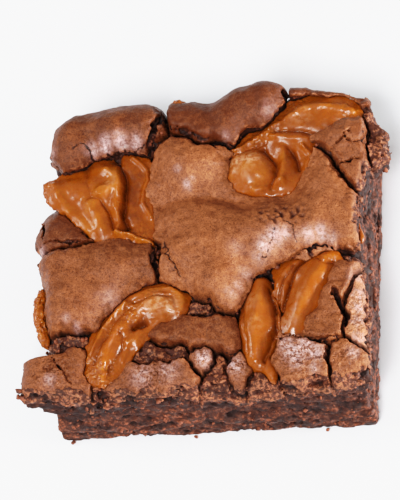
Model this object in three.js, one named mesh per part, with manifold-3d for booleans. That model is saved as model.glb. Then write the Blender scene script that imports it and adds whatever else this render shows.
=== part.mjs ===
// A square slice of brownie with a cracked crust and runs of caramel.
//
// Millimetres, +Z up. The slice stands on z = 0 with its base centred on the origin. Its cut front
// side faces -Y, and the corner of crust that hangs over is the one at -X, -Y.
//
// The body is a box of unit size whose points are moved: outwards to the slice's outline, and
// upwards to the crust. Each run of caramel is a union of tongues, which are balls drawn out along
// a curve, and the body has a pocket of the same form, a little larger, under each run.

import * as THREE from 'three';
import { mergeVertices } from 'three/addons/utils/BufferGeometryUtils.js';
import Module from 'manifold-3d';

const wasm = await Module();
wasm.setup();

// Driving sizes

const SLICE = 66;             // side of the square base: a third of a 200 mm tin
const CRUMB_HEIGHT = 15.8;    // no crack and no bed of caramel goes deeper than this height
const GAP = 0.3;              // clearance between the caramel and its pocket
const TRIM = 1;               // depth below the base that is cut away to leave it flat

const TOP_CELLS = 44;         // cells along each side of the top
const WALL_CELLS = 6;         // cells up each side
const TONGUE_SEGMENTS = 12;   // round a tongue of caramel
const TONGUE_RINGS = 10;      // from end to end of a tongue of caramel

// Cracks between the plates of crust

const CRACK_DEPTH = 1.8;
const CRACK_HALF_WIDTH = 1.0;
const DISC_BLEND = 0.7;       // how far the discs of one plate melt into each other
const STEP_BLEND = 0.8;       // how far the step between two plates is spread
const BED_SLACK = 0.7;        // how far past its discs a bed of caramel can spread

// Ends of a tongue of caramel

const END_FULLNESS = 0.2;     // how much blunter the ends are than those of a stretched ball
const TIP_SHARPNESS = 0.05;

// Rim and sides

const RIM_ROLLS = {           // how much lower the crust is at a side, and how far in that starts
  left: { drop: 3, width: 4.5 },
  right: { drop: 1.5, width: 1.8 },
  front: { drop: 2.4, width: 2.6 },
  back: { drop: 3, width: 5 },
};
const SHOULDER_POWER = 2.2;   // of the curve of a rim that rolls over
const LIP_START = 0.56;       // share of the height at which the crust begins to hang over
const LIP_END = 0.8;
const UNDERCUT = 1.3;         // hollow in the crumb just below the crust
const UNDERCUT_START = 0.35;
const UNDERCUT_END = 0.95;
const FOOT_SPREAD = 0.2;      // how far the crumb spreads at the base
const CRUMBLE = 0.6;          // relief of the torn crumb on the sides
const GRAIN = 0.16;           // relief of the crust

const COLOURS = {
  brownie: 0x5b3a2b,
  caramel: 0xb5651d,
};

// The top is shared out between plates of crust, patches of bare crumb and beds of caramel. Each
// has its level at its edge, the rise of its middle above that level, the distance over which it
// rises, and the discs [x, y, radius] that mark its place.

const PLATES = {
  backLeft: {
    level: 21.6, rise: 3.4, reach: 3.2,
    discs: [[-28.5, 24, 5], [-21, 26, 5], [-14, 27, 4.5]],
  },
  backMiddle: {
    level: 22.0, rise: 3.0, reach: 2.4,
    discs: [[-5, 29.2, 3.5], [-1.5, 27.4, 3], [3, 29, 5], [9.5, 31.6, 5.5]],
  },
  plateau: {
    level: 20.8, rise: 2.6, reach: 3.2,
    discs: [
      [-7.5, 20.5, 4.5], [-6.5, 16, 5], [-0.5, 18, 4.5], [-5.5, 7, 5.5], [3.5, 4, 7.5],
      [12.5, 2.5, 7], [22.5, 4, 7.5], [23, 12, 4.5], [23.5, 17, 2], [28, 2, 4.5],
      [-3.5, -4, 6], [3.5, -7.5, 6.5], [5.5, -12, 3.2],
    ],
  },
  leftUpper: { level: 19.6, rise: 1.8, reach: 2.0, discs: [[-32, 6.5, 4], [-28, 4.5, 3]] },
  left: {
    level: 19.8, rise: 2.9, reach: 3.4,
    discs: [[-28, -5, 6.5], [-19, -4, 6], [-14, -3.5, 4], [-27.5, -12, 6.2], [-22, -9.5, 5]],
  },
  cornerLeft: {
    level: 18.8, rise: 1.2, reach: 1.6,
    discs: [[-34.2, -26.3, 3.4], [-30.4, -26.6, 3.4], [-27.2, -24.2, 3]],
  },
  frontMiddle: {
    level: 18.8, rise: 2.1, reach: 2.2,
    discs: [[-8, -19.3, 2.4], [-2, -19.3, 3.6], [3.6, -19.6, 3.9], [5.4, -22, 2.2]],
  },
  frontLeft: {
    level: 18.6, rise: 0.8, reach: 1.4,
    discs: [[-17.6, -31, 1.6], [-14.5, -28.8, 2.6], [-9.5, -28, 2.9], [-4.3, -27.8, 2.4]],
  },
  frontChip: { level: 19.4, rise: 0.4, reach: 0.8, discs: [[-1.5, -24.8, 1.7], [0.7, -25.1, 1.8]] },
  frontCentre: { level: 18.6, rise: 0.5, reach: 0.8, discs: [[6.2, -26.8, 1.7], [7.6, -28, 1.8]] },
  frontRight: { level: 18.8, rise: 1.5, reach: 1.8, discs: [[18.3, -25.6, 3.4], [21.8, -26.8, 3.8]] },
  cornerRight: { level: 18.8, rise: 1.0, reach: 1.4, discs: [[28.4, -26.5, 3]] },
  rightLower: {
    level: 19.6, rise: 2.0, reach: 2.4,
    discs: [[28, -8.3, 2.6], [26, -13.3, 2.6], [24, -19.3, 3.4], [26.5, -19.8, 2]],
  },
  rightRim: {
    level: 19.8, rise: 1.4, reach: 1.6,
    discs: [[31.4, -10, 1.4], [31, -14.6, 1.9], [31.2, -20.6, 2.2]],
  },
  rightUpper: {
    level: 20.6, rise: 2.2, reach: 2.4,
    discs: [[28.2, 23.2, 3.5], [29, 18.4, 3.1], [30.4, 15, 1.8]],
  },
  backRight: {
    level: 22.0, rise: 1.6, reach: 1.6,
    discs: [[18.5, 35, 1.4], [24.5, 34.8, 1.6], [30.5, 33.4, 1.8]],
  },
};

const CRUMB_PATCHES = {
  left: { level: 18.0, rise: 0.6, reach: 1.5, discs: [[-28.8, -19.2, 1.6], [-26.3, -19, 1.5]] },
  front: {
    level: 18.4, rise: 0.6, reach: 1.5,
    discs: [[-12, -22.9, 1.6], [-8.4, -23, 1.6], [-4.6, -23, 1.2]],
  },
  betweenChips: {
    level: 17.4, rise: 0.4, reach: 1.0,
    discs: [[2.6, -29.3, 2.2], [2.8, -26.6, 1.3], [3.2, -24.8, 1.2], [11.2, -30.2, 2]],
  },
  centre: { level: 18.2, rise: 0.6, reach: 1.5, discs: [[-1.8, -13.4, 1.2], [0.7, -13.6, 1.2]] },
  rightBack: {
    level: 18.6, rise: 0.8, reach: 1.5,
    discs: [[35.6, 26.2, 2.2], [36.2, 21.8, 2.6], [35.4, 17.8, 1.6]],
  },
};

const CARAMEL_BEDS = {
  backLeft: {
    level: 18.2, rise: -2.4, reach: 2.0,
    discs: [
      [-32.4, 16.4, 1.2], [-31, 15.2, 2.8], [-26.5, 14.4, 5.4], [-21, 15.8, 7], [-17.3, 18.4, 4.2],
      [-25.8, 9.4, 3.2], [-21.5, 8.4, 4.8], [-16.5, 8, 4.2], [-13.6, 4.8, 2.2],
    ],
  },
  backRight: {
    level: 18.2, rise: -2.4, reach: 2.0,
    discs: [
      [8.3, 17.3, 4.2], [13.8, 16.8, 5], [17.5, 20.5, 3], [9.8, 22, 3.6], [15, 25, 4],
      [19, 28.3, 4.6], [25, 29.3, 3.8], [28.8, 29.2, 2],
    ],
  },
  frontLeft: {
    level: 17.8, rise: -2.2, reach: 2.0,
    discs: [
      [-20.6, -25.6, 3.4], [-19.7, -22, 4], [-16.4, -16.8, 4.3], [-11.4, -12.8, 4.3],
      [-7.8, -11.6, 3.6],
    ],
  },
  frontMiddle: {
    level: 17.8, rise: -2.0, reach: 2.0,
    discs: [[11.8, -9.4, 1.6], [11.2, -13, 3.2], [11, -17.2, 4.2], [11, -22, 3.3], [11, -25.8, 2]],
  },
  frontRight: {
    level: 18.0, rise: -2.0, reach: 2.0,
    discs: [
      [24.6, -5.2, 1.8], [21.8, -9.5, 3], [19.4, -14.5, 3], [18, -18.5, 2.2], [17.2, -7.4, 2.5],
      [15.4, -11, 1.5],
    ],
  },
};

// Swells of the crust and soft valleys in it

const SWELLS = [
  { x: 14, y: 2.4, radius: 3.8, rise: 0.8 },
  { x: 23.6, y: 3.4, radius: 3.8, rise: 0.6 },
  { x: 9.6, y: -2.6, radius: 3, rise: 0.4 },
  { x: -3.5, y: 17.5, radius: 5.5, rise: 1.2 },
  { x: -9, y: 20.5, radius: 4, rise: 0.6 },
  { x: 9.5, y: 32.5, radius: 5, rise: 0.5 },
  { x: 2.5, y: -9.5, radius: 4.5, rise: 0.7 },
  { x: 24.5, y: 11.5, radius: 4, rise: 0.6 },
  { x: 19, y: 2, radius: 6, rise: 0.7 },
  { x: 8, y: 1, radius: 5, rise: 0.6 },
  { x: -19, y: -5, radius: 5, rise: 0.4 },
  { x: -19, y: 25.6, radius: 6, rise: 0.7 },
  { x: 28.4, y: 22.6, radius: 3.2, rise: 0.9 },
];
const VALLEYS = [
  { depth: 1.2, halfWidth: 1.9, path: [[-9, 10], [-4.6, 11.1], [-0.3, 10.8], [4.6, 10.1], [7.6, 8]] },
  { depth: 1.5, halfWidth: 5, path: [[-9, 10], [-1, 10.5], [6, 9.5], [12, 9.5], [18, 12]] },
  { depth: 0.8, halfWidth: 2.4, path: [[9.5, -1], [8, -5], [8.5, -9]] },
];

const CRUSTS = [PLATES, CRUMB_PATCHES].flatMap((group) => Object.values(group));
const BEDS = Object.values(CARAMEL_BEDS);
const AREAS = [...CRUSTS, ...BEDS];

// Outline of the crust as [distance along the side, distance outwards from the square base].
// Left and right run along Y, front and back along X.

const CRUST_OUTLINE = {
  left: [
    [-33, 3.6], [-29, 5.3], [-23.2, 5.1], [-22.2, -1.2], [-19.8, 0.3], [-15.6, 1.5], [-12, 2.4],
    [-5, 1.9], [0.8, 2.6], [5, 4.0], [10, 3.0], [13.5, 0.9], [23, 1.0], [28.5, 0.2], [33, -2.8],
  ],
  right: [
    [-33, -0.6], [-28.5, 0.6], [-18, 0.6], [-11, -0.3], [-5, -1.2], [3, -1.6], [9, -1.8],
    [15, -0.5], [19.5, 4.2], [24.5, 3.8], [28, 0.8], [33, -0.2],
  ],
  front: [[-33, -1.8], [-26, -0.9], [-10, -0.7], [0, -1.1], [20, -0.7], [27, -1.2], [33, -3.0]],
  back: [
    [-33, -3.6], [-28, -1.2], [-18, 0.4], [-9, 0.2], [0, 0], [6.5, 3.0], [11, 4.0],
    [16, 3.0], [26, 1.4], [33, -1.0],
  ],
};

// Runs of caramel, each made of tongues. A tongue follows its path [x, y, z, half width] and is
// as thick as twice its half height.

const CARAMEL = {
  caramel_back_left: [
    { halfHeight: 2.4, path: [[-33, 16.3, 18.2, 0.8], [-29.6, 14.8, 18, 3], [-22, 16, 17.8, 4.6]] },
    {
      halfHeight: 3.4,
      path: [[-22.4, 22, 17.6, 4.2], [-22, 15, 17.8, 5.4], [-22, 9, 17.6, 4.9], [-21.8, 3.8, 17.4, 2.8]],
    },
    { halfHeight: 2.7, path: [[-16.2, 22, 17, 3.2], [-14.6, 14, 16.8, 3.6], [-14.8, 4, 16.8, 3]] },
    {
      halfHeight: 1.6,
      path: [[-21.6, 7, 17.6, 1.4], [-19, 4.3, 18.2, 1.3], [-16, 3.5, 18.4, 1.2], [-11.6, 1.4, 18.2, 0.9]],
    },
  ],
  caramel_back_right: [
    { halfHeight: 3.9, path: [[5, 15.4, 17.2, 3.8], [8.6, 18.4, 17.4, 4.8], [11.4, 22.4, 17.2, 3.8]] },
    { halfHeight: 3.5, path: [[9.4, 13.2, 17, 3.2], [14, 15.6, 17, 4.6], [18.8, 18.8, 17, 3.2]] },
    {
      halfHeight: 3.4,
      path: [[7, 23.2, 17.2, 2.4], [15.4, 25, 17.4, 5], [20.6, 28.8, 17.8, 5], [30, 30.2, 18, 3.2]],
    },
  ],
  caramel_front_left: [
    {
      halfHeight: 3.4,
      path: [
        [-21.2, -28.6, 16.8, 2.6], [-20.4, -22.8, 17, 4.1], [-16.8, -16.6, 17.3, 4.5],
        [-11.6, -12.4, 17.3, 4.5], [-5.2, -11, 17, 3.2],
      ],
    },
  ],
  caramel_front_middle: [
    {
      halfHeight: 3.4,
      path: [
        [11.6, -6.6, 17, 1.7], [11, -12.6, 17.3, 3.6], [11, -18, 17.3, 4.4],
        [10.8, -23.4, 17, 3.2], [10.8, -28, 16.8, 1.6],
      ],
    },
    { halfHeight: 1.4, path: [[12.4, -24.6, 17.2, 1.2], [13.4, -28, 17.6, 1.1], [14.4, -31, 17.2, 0.8]] },
  ],
  caramel_front_right: [
    {
      halfHeight: 3.6,
      path: [[26, -2.6, 18, 1.7], [23.4, -7, 17.9, 2.7], [20.4, -13, 17.6, 3], [17.6, -20.6, 17.2, 2]],
    },
    { halfHeight: 3, path: [[22.6, -4.4, 17.8, 1.6], [17.8, -7.4, 17.8, 2.7], [15.2, -13.4, 17.3, 1.2]] },
  ],
  caramel_back_edge: [
    { halfHeight: 1.7, path: [[-9.2, 32.6, 21, 1.5], [-6.6, 32.8, 21.2, 1.7], [-4, 32.6, 21, 1.5]] },
  ],
  caramel_left_edge: [
    {
      halfHeight: 1.6,
      path: [
        [-34.4, -3.4, 17.4, 1.1], [-34.8, -9, 17.2, 1.7], [-34.8, -13.6, 17, 1.7],
        [-33.5, -18.4, 16.6, 1.5], [-32.2, -21.6, 16.4, 1],
      ],
    },
  ],
  caramel_right_edge: [
    { halfHeight: 1.3, path: [[30.7, 7.6, 18.6, 1.0], [31.3, 2, 18.6, 1.3], [31.7, -4.6, 18.4, 1.1]] },
  ],
};

// Small helpers

function smoothstep(value, start, end) {
  return THREE.MathUtils.smoothstep(value, start, end);
}

// Value at a place along a list of [place, value] stops, eased from stop to stop
function alongStops(stops, place) {
  const after = stops.findIndex(([stop]) => stop >= place);
  if (after <= 0) {
    return after === 0 ? stops[0][1] : stops.at(-1)[1];
  }
  const [startPlace, startValue] = stops[after - 1];
  const [endPlace, endValue] = stops[after];
  return THREE.MathUtils.lerp(startValue, endValue, smoothstep(place, startPlace, endPlace));
}

// Uneven wobble between about -1 and 1 that repeats nowhere on the slice
function wobble(x, y, z) {
  const broad = Math.sin(0.61 * x + 1.3) * Math.cos(0.53 * y - 0.37 * z);
  const middle = Math.sin(1.27 * y + 0.83 * z + 2.1 * broad) * Math.cos(1.13 * x - 0.6);
  const fine = Math.sin(2.31 * x - 1.71 * y + 2.9 * z + middle);
  return 0.45 * broad + 0.35 * middle + 0.2 * fine;
}

// Top of the slice

// Distance from a point to the edge of an area: negative inside, its discs melted together
function distanceToArea(area, x, y) {
  const sum = area.discs.reduce((total, [discX, discY, radius]) => {
    const distance = Math.hypot(x - discX, y - discY) - radius;
    return total + Math.exp(-distance / DISC_BLEND);
  }, 0);
  return -DISC_BLEND * Math.log(sum);
}

// Distance from a point to a path
function distanceToPath(path, x, y) {
  return Math.min(...path.slice(1).map(([endX, endY], index) => {
    const [startX, startY] = path[index];
    const [alongX, alongY] = [endX - startX, endY - startY];
    const share = ((x - startX) * alongX + (y - startY) * alongY) / (alongX ** 2 + alongY ** 2);
    const nearest = THREE.MathUtils.clamp(share, 0, 1);
    return Math.hypot(x - startX - nearest * alongX, y - startY - nearest * alongY);
  }));
}

// Height of the swells less the depth of the valleys
function bumps(x, y) {
  const swells = SWELLS.map((swell) => {
    const distance = Math.hypot(x - swell.x, y - swell.y);
    return swell.rise * Math.exp(-((distance / swell.radius) ** 2));
  });
  const valleys = VALLEYS.map(({ depth, halfWidth, path }) => (
    -depth * Math.exp(-((distanceToPath(path, x, y) / halfWidth) ** 2))
  ));
  return [...swells, ...valleys].reduce((total, height) => total + height, 0);
}

// Height of the crust, crumb or bed of caramel at a point, without its bumps, rim and grain
function plateHeight(x, y) {
  const toCrusts = CRUSTS.map((area) => distanceToArea(area, x, y));
  const pastSlack = Math.max(Math.min(...toCrusts) - BED_SLACK, 0);
  const toBeds = BEDS.map((area) => distanceToArea(area, x, y) + pastSlack);
  const distances = [...toCrusts, ...toBeds];
  const nearest = Math.min(...distances);
  const second = Math.min(...distances.filter((distance) => distance > nearest));
  const fromCrack = (second - nearest) / 2;

  let weightSum = 0;
  let height = 0;
  AREAS.forEach((area, index) => {
    const weight = Math.exp((nearest - distances[index]) / STEP_BLEND);
    const inside = Math.max(fromCrack, 0);
    height += weight * (area.level + area.rise * (1 - Math.exp(-inside / area.reach)));
    weightSum += weight;
  });
  const groove = CRACK_DEPTH * Math.exp(-((fromCrack / CRACK_HALF_WIDTH) ** 2));
  return height / weightSum - groove;
}

// How much lower the crust is near the sides, at shares right and back of the slice
function rimFall(right, back) {
  const shares = { left: right, right: 1 - right, front: back, back: 1 - back };
  return Math.hypot(...Object.entries(RIM_ROLLS).map(([side, { drop, width }]) => {
    const inside = Math.min(SLICE * shares[side] / width, 1);
    return drop * (1 - inside) ** SHOULDER_POWER;
  }));
}

function topHeight(x, y, fall) {
  const height = plateHeight(x, y) + bumps(x, y) - fall + GRAIN * wobble(1.7 * x, 1.7 * y, 0);
  return Math.max(height, CRUMB_HEIGHT);
}

// Sides of the slice

// Distance outwards from the square base at a place along one side and a share of the height
function outwards(side, along, share) {
  const lip = smoothstep(share, LIP_START, LIP_END);
  const overhang = lip * alongStops(CRUST_OUTLINE[side], along);
  const undercut = UNDERCUT * Math.sin(Math.PI * smoothstep(share, UNDERCUT_START, UNDERCUT_END));
  return overhang + FOOT_SPREAD * (1 - share) - undercut * (1 - lip);
}

// How much of a side's displacement a point takes: all at the side, hardly any further in
function nearSide(share) {
  return share ** 9;
}

// Plan position of a point that lies at shares right, back and up of the unit box
function planPosition(right, back, up) {
  const alongX = (right - 0.5) * SLICE;
  const alongY = (back - 0.5) * SLICE;
  const torn = CRUMBLE * wobble(1.5 * alongX, 1.5 * alongY, 1.7 * SLICE * up) * Math.sin(Math.PI * up);
  const toRight = (outwards('right', alongY, up) + torn) * nearSide(right);
  const toLeft = (outwards('left', alongY, up) + torn) * nearSide(1 - right);
  const toBack = (outwards('back', alongX, up) + torn) * nearSide(back);
  const toFront = (outwards('front', alongX, up) + torn) * nearSide(1 - back);
  return [alongX + toRight - toLeft, alongY + toBack - toFront];
}

function slicePosition(right, back, up) {
  const [edgeX, edgeY] = planPosition(right, back, 1);
  const height = topHeight(edgeX, edgeY, rimFall(right, back));
  const [x, y] = planPosition(right, back, up);
  return [x, y, THREE.MathUtils.lerp(-TRIM, height, up)];
}

// Solids

function toManifold(geometry) {
  const bare = geometry.clone();
  bare.deleteAttribute('normal');
  bare.deleteAttribute('uv');
  const merged = mergeVertices(bare, 1e-4);
  return new wasm.Manifold(new wasm.Mesh({
    numProp: 3,
    vertProperties: new Float32Array(merged.attributes.position.array),
    triVerts: new Uint32Array(merged.index.array),
  }));
}

function toGeometry(solid) {
  const mesh = solid.getMesh();
  const geometry = new THREE.BufferGeometry();
  geometry.setAttribute('position', new THREE.BufferAttribute(new Float32Array(mesh.vertProperties), 3));
  geometry.setIndex(new THREE.BufferAttribute(new Uint32Array(mesh.triVerts), 1));
  geometry.computeVertexNormals();
  return geometry;
}

function sliceSolid() {
  const geometry = new THREE.BoxGeometry(1, 1, 1, TOP_CELLS, TOP_CELLS, WALL_CELLS);
  const position = geometry.attributes.position;
  for (let i = 0; i < position.count; i += 1) {
    const shares = [position.getX(i) + 0.5, position.getY(i) + 0.5, position.getZ(i) + 0.5];
    position.setXYZ(i, ...slicePosition(...shares));
  }
  return toManifold(geometry);
}

// A slab that lies wholly below the base
function trimSolid() {
  const geometry = new THREE.BoxGeometry(2 * SLICE, 2 * SLICE, 2 * TRIM);
  geometry.translate(0, 0, -TRIM);
  return toManifold(geometry);
}

// A ball drawn out along a tongue's path, larger by a clearance on every side
function tongue({ path, halfHeight }, clearance) {
  const curve = new THREE.CatmullRomCurve3(path.map(([x, y, z]) => new THREE.Vector3(x, y, z)));
  const halfWidths = path.map(([, , , halfWidth], index) => [index / (path.length - 1), halfWidth]);
  const geometry = new THREE.SphereGeometry(1, TONGUE_SEGMENTS, TONGUE_RINGS);
  geometry.rotateZ(Math.PI / 2);
  const position = geometry.attributes.position;
  for (let i = 0; i < position.count; i += 1) {
    const [along, across, up] = [position.getX(i), position.getY(i), position.getZ(i)];
    const share = THREE.MathUtils.clamp((along + 1) / 2, 0, 1);
    const fullness = (1 - along * along + TIP_SHARPNESS) ** -END_FULLNESS;
    const halfWidth = alongStops(halfWidths, share) * fullness + clearance;
    const forward = curve.getTangent(share).setZ(0).normalize();
    const point = curve.getPoint(share).addScaledVector(forward, along * clearance);
    point.x -= forward.y * across * halfWidth;
    point.y += forward.x * across * halfWidth;
    point.z += up * (halfHeight * fullness + clearance);
    position.setXYZ(i, point.x, point.y, point.z);
  }
  return toManifold(geometry);
}

function caramelSolid(tongues, clearance = 0) {
  return tongues.map((entry) => tongue(entry, clearance)).reduce((whole, piece) => whole.add(piece));
}

// The largest connected piece of a solid, without any scraps that the cuts leave loose
function largestPiece(solid) {
  const pieces = solid.decompose();
  return pieces.reduce((best, piece) => (piece.volume() > best.volume() ? piece : best));
}

// Parts

function material(colour, roughness) {
  return new THREE.MeshStandardMaterial({ color: colour, roughness, metalness: 0 });
}

function namedMesh(name, solid, meshMaterial) {
  const mesh = new THREE.Mesh(toGeometry(solid), meshMaterial);
  mesh.name = name;
  return mesh;
}

function brownieBody() {
  const pockets = Object.values(CARAMEL).map((tongues) => caramelSolid(tongues, GAP));
  const cuts = [trimSolid(), ...pockets];
  const carved = cuts.reduce((rest, cut) => rest.subtract(cut), sliceSolid());
  return namedMesh('brownie', largestPiece(carved), material(COLOURS.brownie, 0.75));
}

function caramelRuns() {
  const caramel = material(COLOURS.caramel, 0.25);
  return Object.entries(CARAMEL).map(
    ([name, tongues]) => namedMesh(name, caramelSolid(tongues), caramel),
  );
}

const slice = new THREE.Group();
slice.add(brownieBody(), ...caramelRuns());

export default slice;
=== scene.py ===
import itertools
import math

import bmesh
import bpy
import numpy as np
import openvdb
from mathutils import Matrix, Vector


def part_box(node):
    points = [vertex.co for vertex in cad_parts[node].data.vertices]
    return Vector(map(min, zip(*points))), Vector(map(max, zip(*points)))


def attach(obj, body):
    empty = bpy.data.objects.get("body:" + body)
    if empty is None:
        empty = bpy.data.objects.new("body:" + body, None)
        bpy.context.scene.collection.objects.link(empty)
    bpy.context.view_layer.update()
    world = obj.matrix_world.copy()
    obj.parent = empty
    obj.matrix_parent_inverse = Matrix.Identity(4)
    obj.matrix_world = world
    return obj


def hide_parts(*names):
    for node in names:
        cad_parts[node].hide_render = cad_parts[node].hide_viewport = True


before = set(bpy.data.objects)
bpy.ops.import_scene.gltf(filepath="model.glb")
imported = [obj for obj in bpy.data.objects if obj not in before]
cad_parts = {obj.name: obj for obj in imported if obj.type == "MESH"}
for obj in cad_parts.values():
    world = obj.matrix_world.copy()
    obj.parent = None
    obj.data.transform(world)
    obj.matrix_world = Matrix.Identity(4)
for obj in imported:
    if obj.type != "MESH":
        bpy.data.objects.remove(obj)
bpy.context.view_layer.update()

# A square slice of brownie with a cracked crust and runs of caramel.
#
# The tables are in millimetres, in the frame's axes. The body and every run of caramel are fields
# on a lattice: distances in millimetres, negative inside, that become meshes where they are zero.

# Driving sizes

MM = 0.001
SLICE = 66.0  # side of the square base
LOW_CORNER = np.array(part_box("brownie")[0]) / MM
HIGH_CORNER = np.array(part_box("brownie")[1]) / MM
MARGIN = 1.5  # room around a piece in its lattice
OUTSIDE = 2.0  # what a field is beyond its lattice
BODY_STEP = 0.27  # lattice step of the body
CARAMEL_STEP = 0.2
SEED = 7
NOISE_CELLS = 32  # the noise repeats after as many
NOISE_GAIN = 1.6  # brings gradient noise to about -1 to 1
RIDGE_MIDDLE = 0.3  # mean size of noise

# Crust: one plate is discs (x, y, radius) melted together. It is a dome with the level of its edge,
# the rise of its middle and the width of its round shoulder, which is narrower along a crack than
# beside caramel. Its tone is how light it is baked, with painted shade and light in it too: the back
# plates and the upper left one are darker where they face away from the key light, and the right rim
# is lighter where the right light falls on it. Its tilt is the slope along X and Y.

CRUST_THICKNESS = 1.0
SHOULDER_POWER = 2.2  # of the curve from a dome's edge to its middle
CRACK_SHARPNESS = 0.4  # width of a shoulder along a crack, as a share of the rest
DISC_BLEND = 0.7
STEP_BLEND = 0.4
WARP = [(3.1, 0.5), (1.2, 0.34), (0.6, 0.2)]  # cell and size of the borders' wander
CRACK_WARP = [(3.1, 0.5), (1.1, 0.45), (0.55, 0.24)]  # the same for the cracks
UNDULATION = [(7.0, 0.38), (3.0, 0.2), (1.3, 0.09), (0.7, 0.06)]
CURL = [(1.3, 0.35)]  # how a crust's torn edge curls up and down
CURL_REACH = 0.7
CRACK_DEPTH = 2.2
CRACK_HALF_WIDTH = 0.28
CRACK_VARIATION = [(3.5, 0.8)]  # of that width, as a share

PLATES = {
    "back_left": (20.2, 4.7, 6.2, 0.68, (0, 0), [(-28.5, 24, 5), (-21, 26, 5), (-14, 27, 4.5)]),
    "back_middle": (21.6, 3, 4.4, 0.57, (0, 0.03), [
        (-5, 29.2, 3.5), (-1.5, 27.4, 3), (3, 29, 5), (9.5, 31.6, 5.5)]),
    "plateau": (20, 3.4, 7, 1.05, (0, 0), [
        (-7.5, 20.5, 4.5), (-6.5, 16, 5), (-0.5, 18, 4.5), (-5.5, 7, 5.5), (3.5, 4, 7.5),
        (12.5, 2.5, 7), (22.5, 4, 7.5), (23, 12, 4.5), (23.5, 17, 2), (28, 2, 4.5), (-3.5, -4, 6),
        (3.5, -7.5, 6.5), (5.5, -12, 3.2)]),
    "left_upper": (18.9, 1.8, 4, 0.68, (0.1, -0.2), [(-32, 6.5, 4), (-28, 4.5, 3)]),
    "left": (19.2, 3.5, 6.5, 0.9, (0, 0.02), [
        (-28, -5, 6.5), (-19, -4, 6), (-14, -3.5, 4), (-27.5, -12, 6.2), (-22, -9.5, 5)]),
    "corner_left": (18.6, 1, 1.6, 0.84, (-0.03, 0.1), [
        (-34.2, -26.3, 3.4), (-30.4, -26.6, 3.4), (-27.2, -24.2, 3)]),
    "front_middle": (18.7, 2.2, 3.4, 0.78, (0, -0.02), [
        (-8, -19.3, 2.4), (-2, -19.3, 3.6), (3.6, -19.6, 3.9), (5.4, -22, 2.2)]),
    "front_left": (18.4, 0.8, 1.2, 0.88, (0.05, 0.14), [
        (-17.6, -31, 1.6), (-14.5, -28.8, 2.6), (-9.5, -28, 2.9), (-4.3, -27.8, 2.4)]),
    "front_chip": (19.4, 0.2, 0.5, 1, (0.12, 0.3), [
        (-1.8, -24.6, 0.9), (-0.6, -24.2, 0.9), (1.2, -24.9, 1), (0.9, -25.9, 0.9), (-0.8, -26, 1)]),
    "front_centre": (18.6, 0.4, 0.7, 0.92, (-0.1, 0.3), [
        (5.6, -27.4, 1), (6, -26.2, 0.9), (7.4, -26.4, 1.1), (8.6, -28, 1.1), (7.2, -28.9, 1.1)]),
    "front_right": (18.7, 1.5, 2.2, 0.98, (0.02, 0.2), [(18.3, -25.6, 3.4), (21.8, -26.8, 3.8)]),
    "corner_right": (18.7, 1, 1.3, 1, (-0.05, 0.2), [(28.4, -26.5, 3)]),
    "right_lower": (19.5, 1.8, 2.4, 0.95, (0.02, 0.02), [
        (28, -8.3, 2.6), (26, -13.3, 2.6), (24, -19.3, 3.4), (26.5, -19.8, 2)]),
    "right_rim": (19.6, 0.8, 1.4, 1.45, (-0.2, 0), [
        (31.4, -10, 1.4), (31, -14.6, 1.9), (31.2, -20.6, 2.2)]),
    "right_upper": (20.4, 2.4, 3, 0.88, (0, 0.08), [(28.2, 23.2, 3.5), (29, 18.4, 3.1), (30.4, 15, 1.8)]),
    "back_right": (21.6, 1.8, 2.4, 0.6, (0, 0), [(18.5, 35, 1.4), (24.5, 34.8, 1.6), (30.5, 33.4, 1.8)]),
}

# Fine wrinkles: size, cells along X and Y, and the spot (x, y, radius) that they are in

WRINKLES = [
    (0.3, (0.55, 4), (-19, 22.8, 3.4)), (0.25, (0.55, 4), (-24.5, 22.4, 2.6)),
    (0.3, (0.6, 0.6), (16, 4.4, 3.6)), (1, (1.7, 1.3), (19.5, -26.5, 4)),
    (0.8, (1.6, 1.2), (-10.5, -28.4, 5)), (0.7, (1.2, 1.2), (28.5, -26.5, 3)),
    (0.5, (1.1, 1.1), (29.5, 20.5, 3.5)), (0.45, (1.2, 1.2), (-31, -26, 4.6)),
    (0.3, (1.2, 1.2), (0, -20, 6)), (0.35, (1.2, 1.2), (25.5, -18, 4)),
    (0.2, (1, 1), (-7.5, -4, 2.6)), (0.3, (0.7, 0.7), (31.2, -15, 3)),
]

# Swells of the crust (x, y, radius, height) and soft valleys in it (depth, half width, path)

SWELLS = [
    (14, 2.4, 3.8, 0.8), (23.6, 3.4, 3.8, 0.6), (9.6, -2.6, 3, 0.4),
    (-3.5, 17.5, 5.5, 1.2), (-9, 20.5, 4, 0.6), (9.5, 32.5, 5, 0.5), (2.5, -9.5, 4.5, 0.7),
    (-6.5, -3, 3, 0.5), (24.5, 11.5, 4, 0.6), (19, 2, 6, 0.7), (8, 1, 5, 0.6),
    (-19, -5, 5, 0.4), (0, 0, 5, 0.4), (-19, 25.6, 6, 0.7), (-30, 23.5, 3.5, -0.5),
    (28.4, 22.6, 3.2, 0.9),
]
VALLEYS = [
    (1.2, 1.9, [(-9, 10), (-4.6, 11.1), (-0.3, 10.8), (4.6, 10.1), (7.6, 8)]),
    (1.5, 5, [(-9, 10), (-1, 10.5), (6, 9.5), (12, 9.5), (18, 12)]),
    (0.7, 0.6, [(-8.8, -0.2), (-7.5, -2.6), (-6, -5), (-4.5, -7.6)]),
    (0.8, 2.4, [(9.5, -1), (8, -5), (8.5, -9)]),
    (0.6, 1.6, [(-26, 25.5), (-25, 22)]),
    (0.5, 2, [(0, 31.5), (0.5, 27.5)]),
]

# Bare crumb and beds of caramel: level at the edge, rise of the middle (down in a bed), reach, discs

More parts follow.
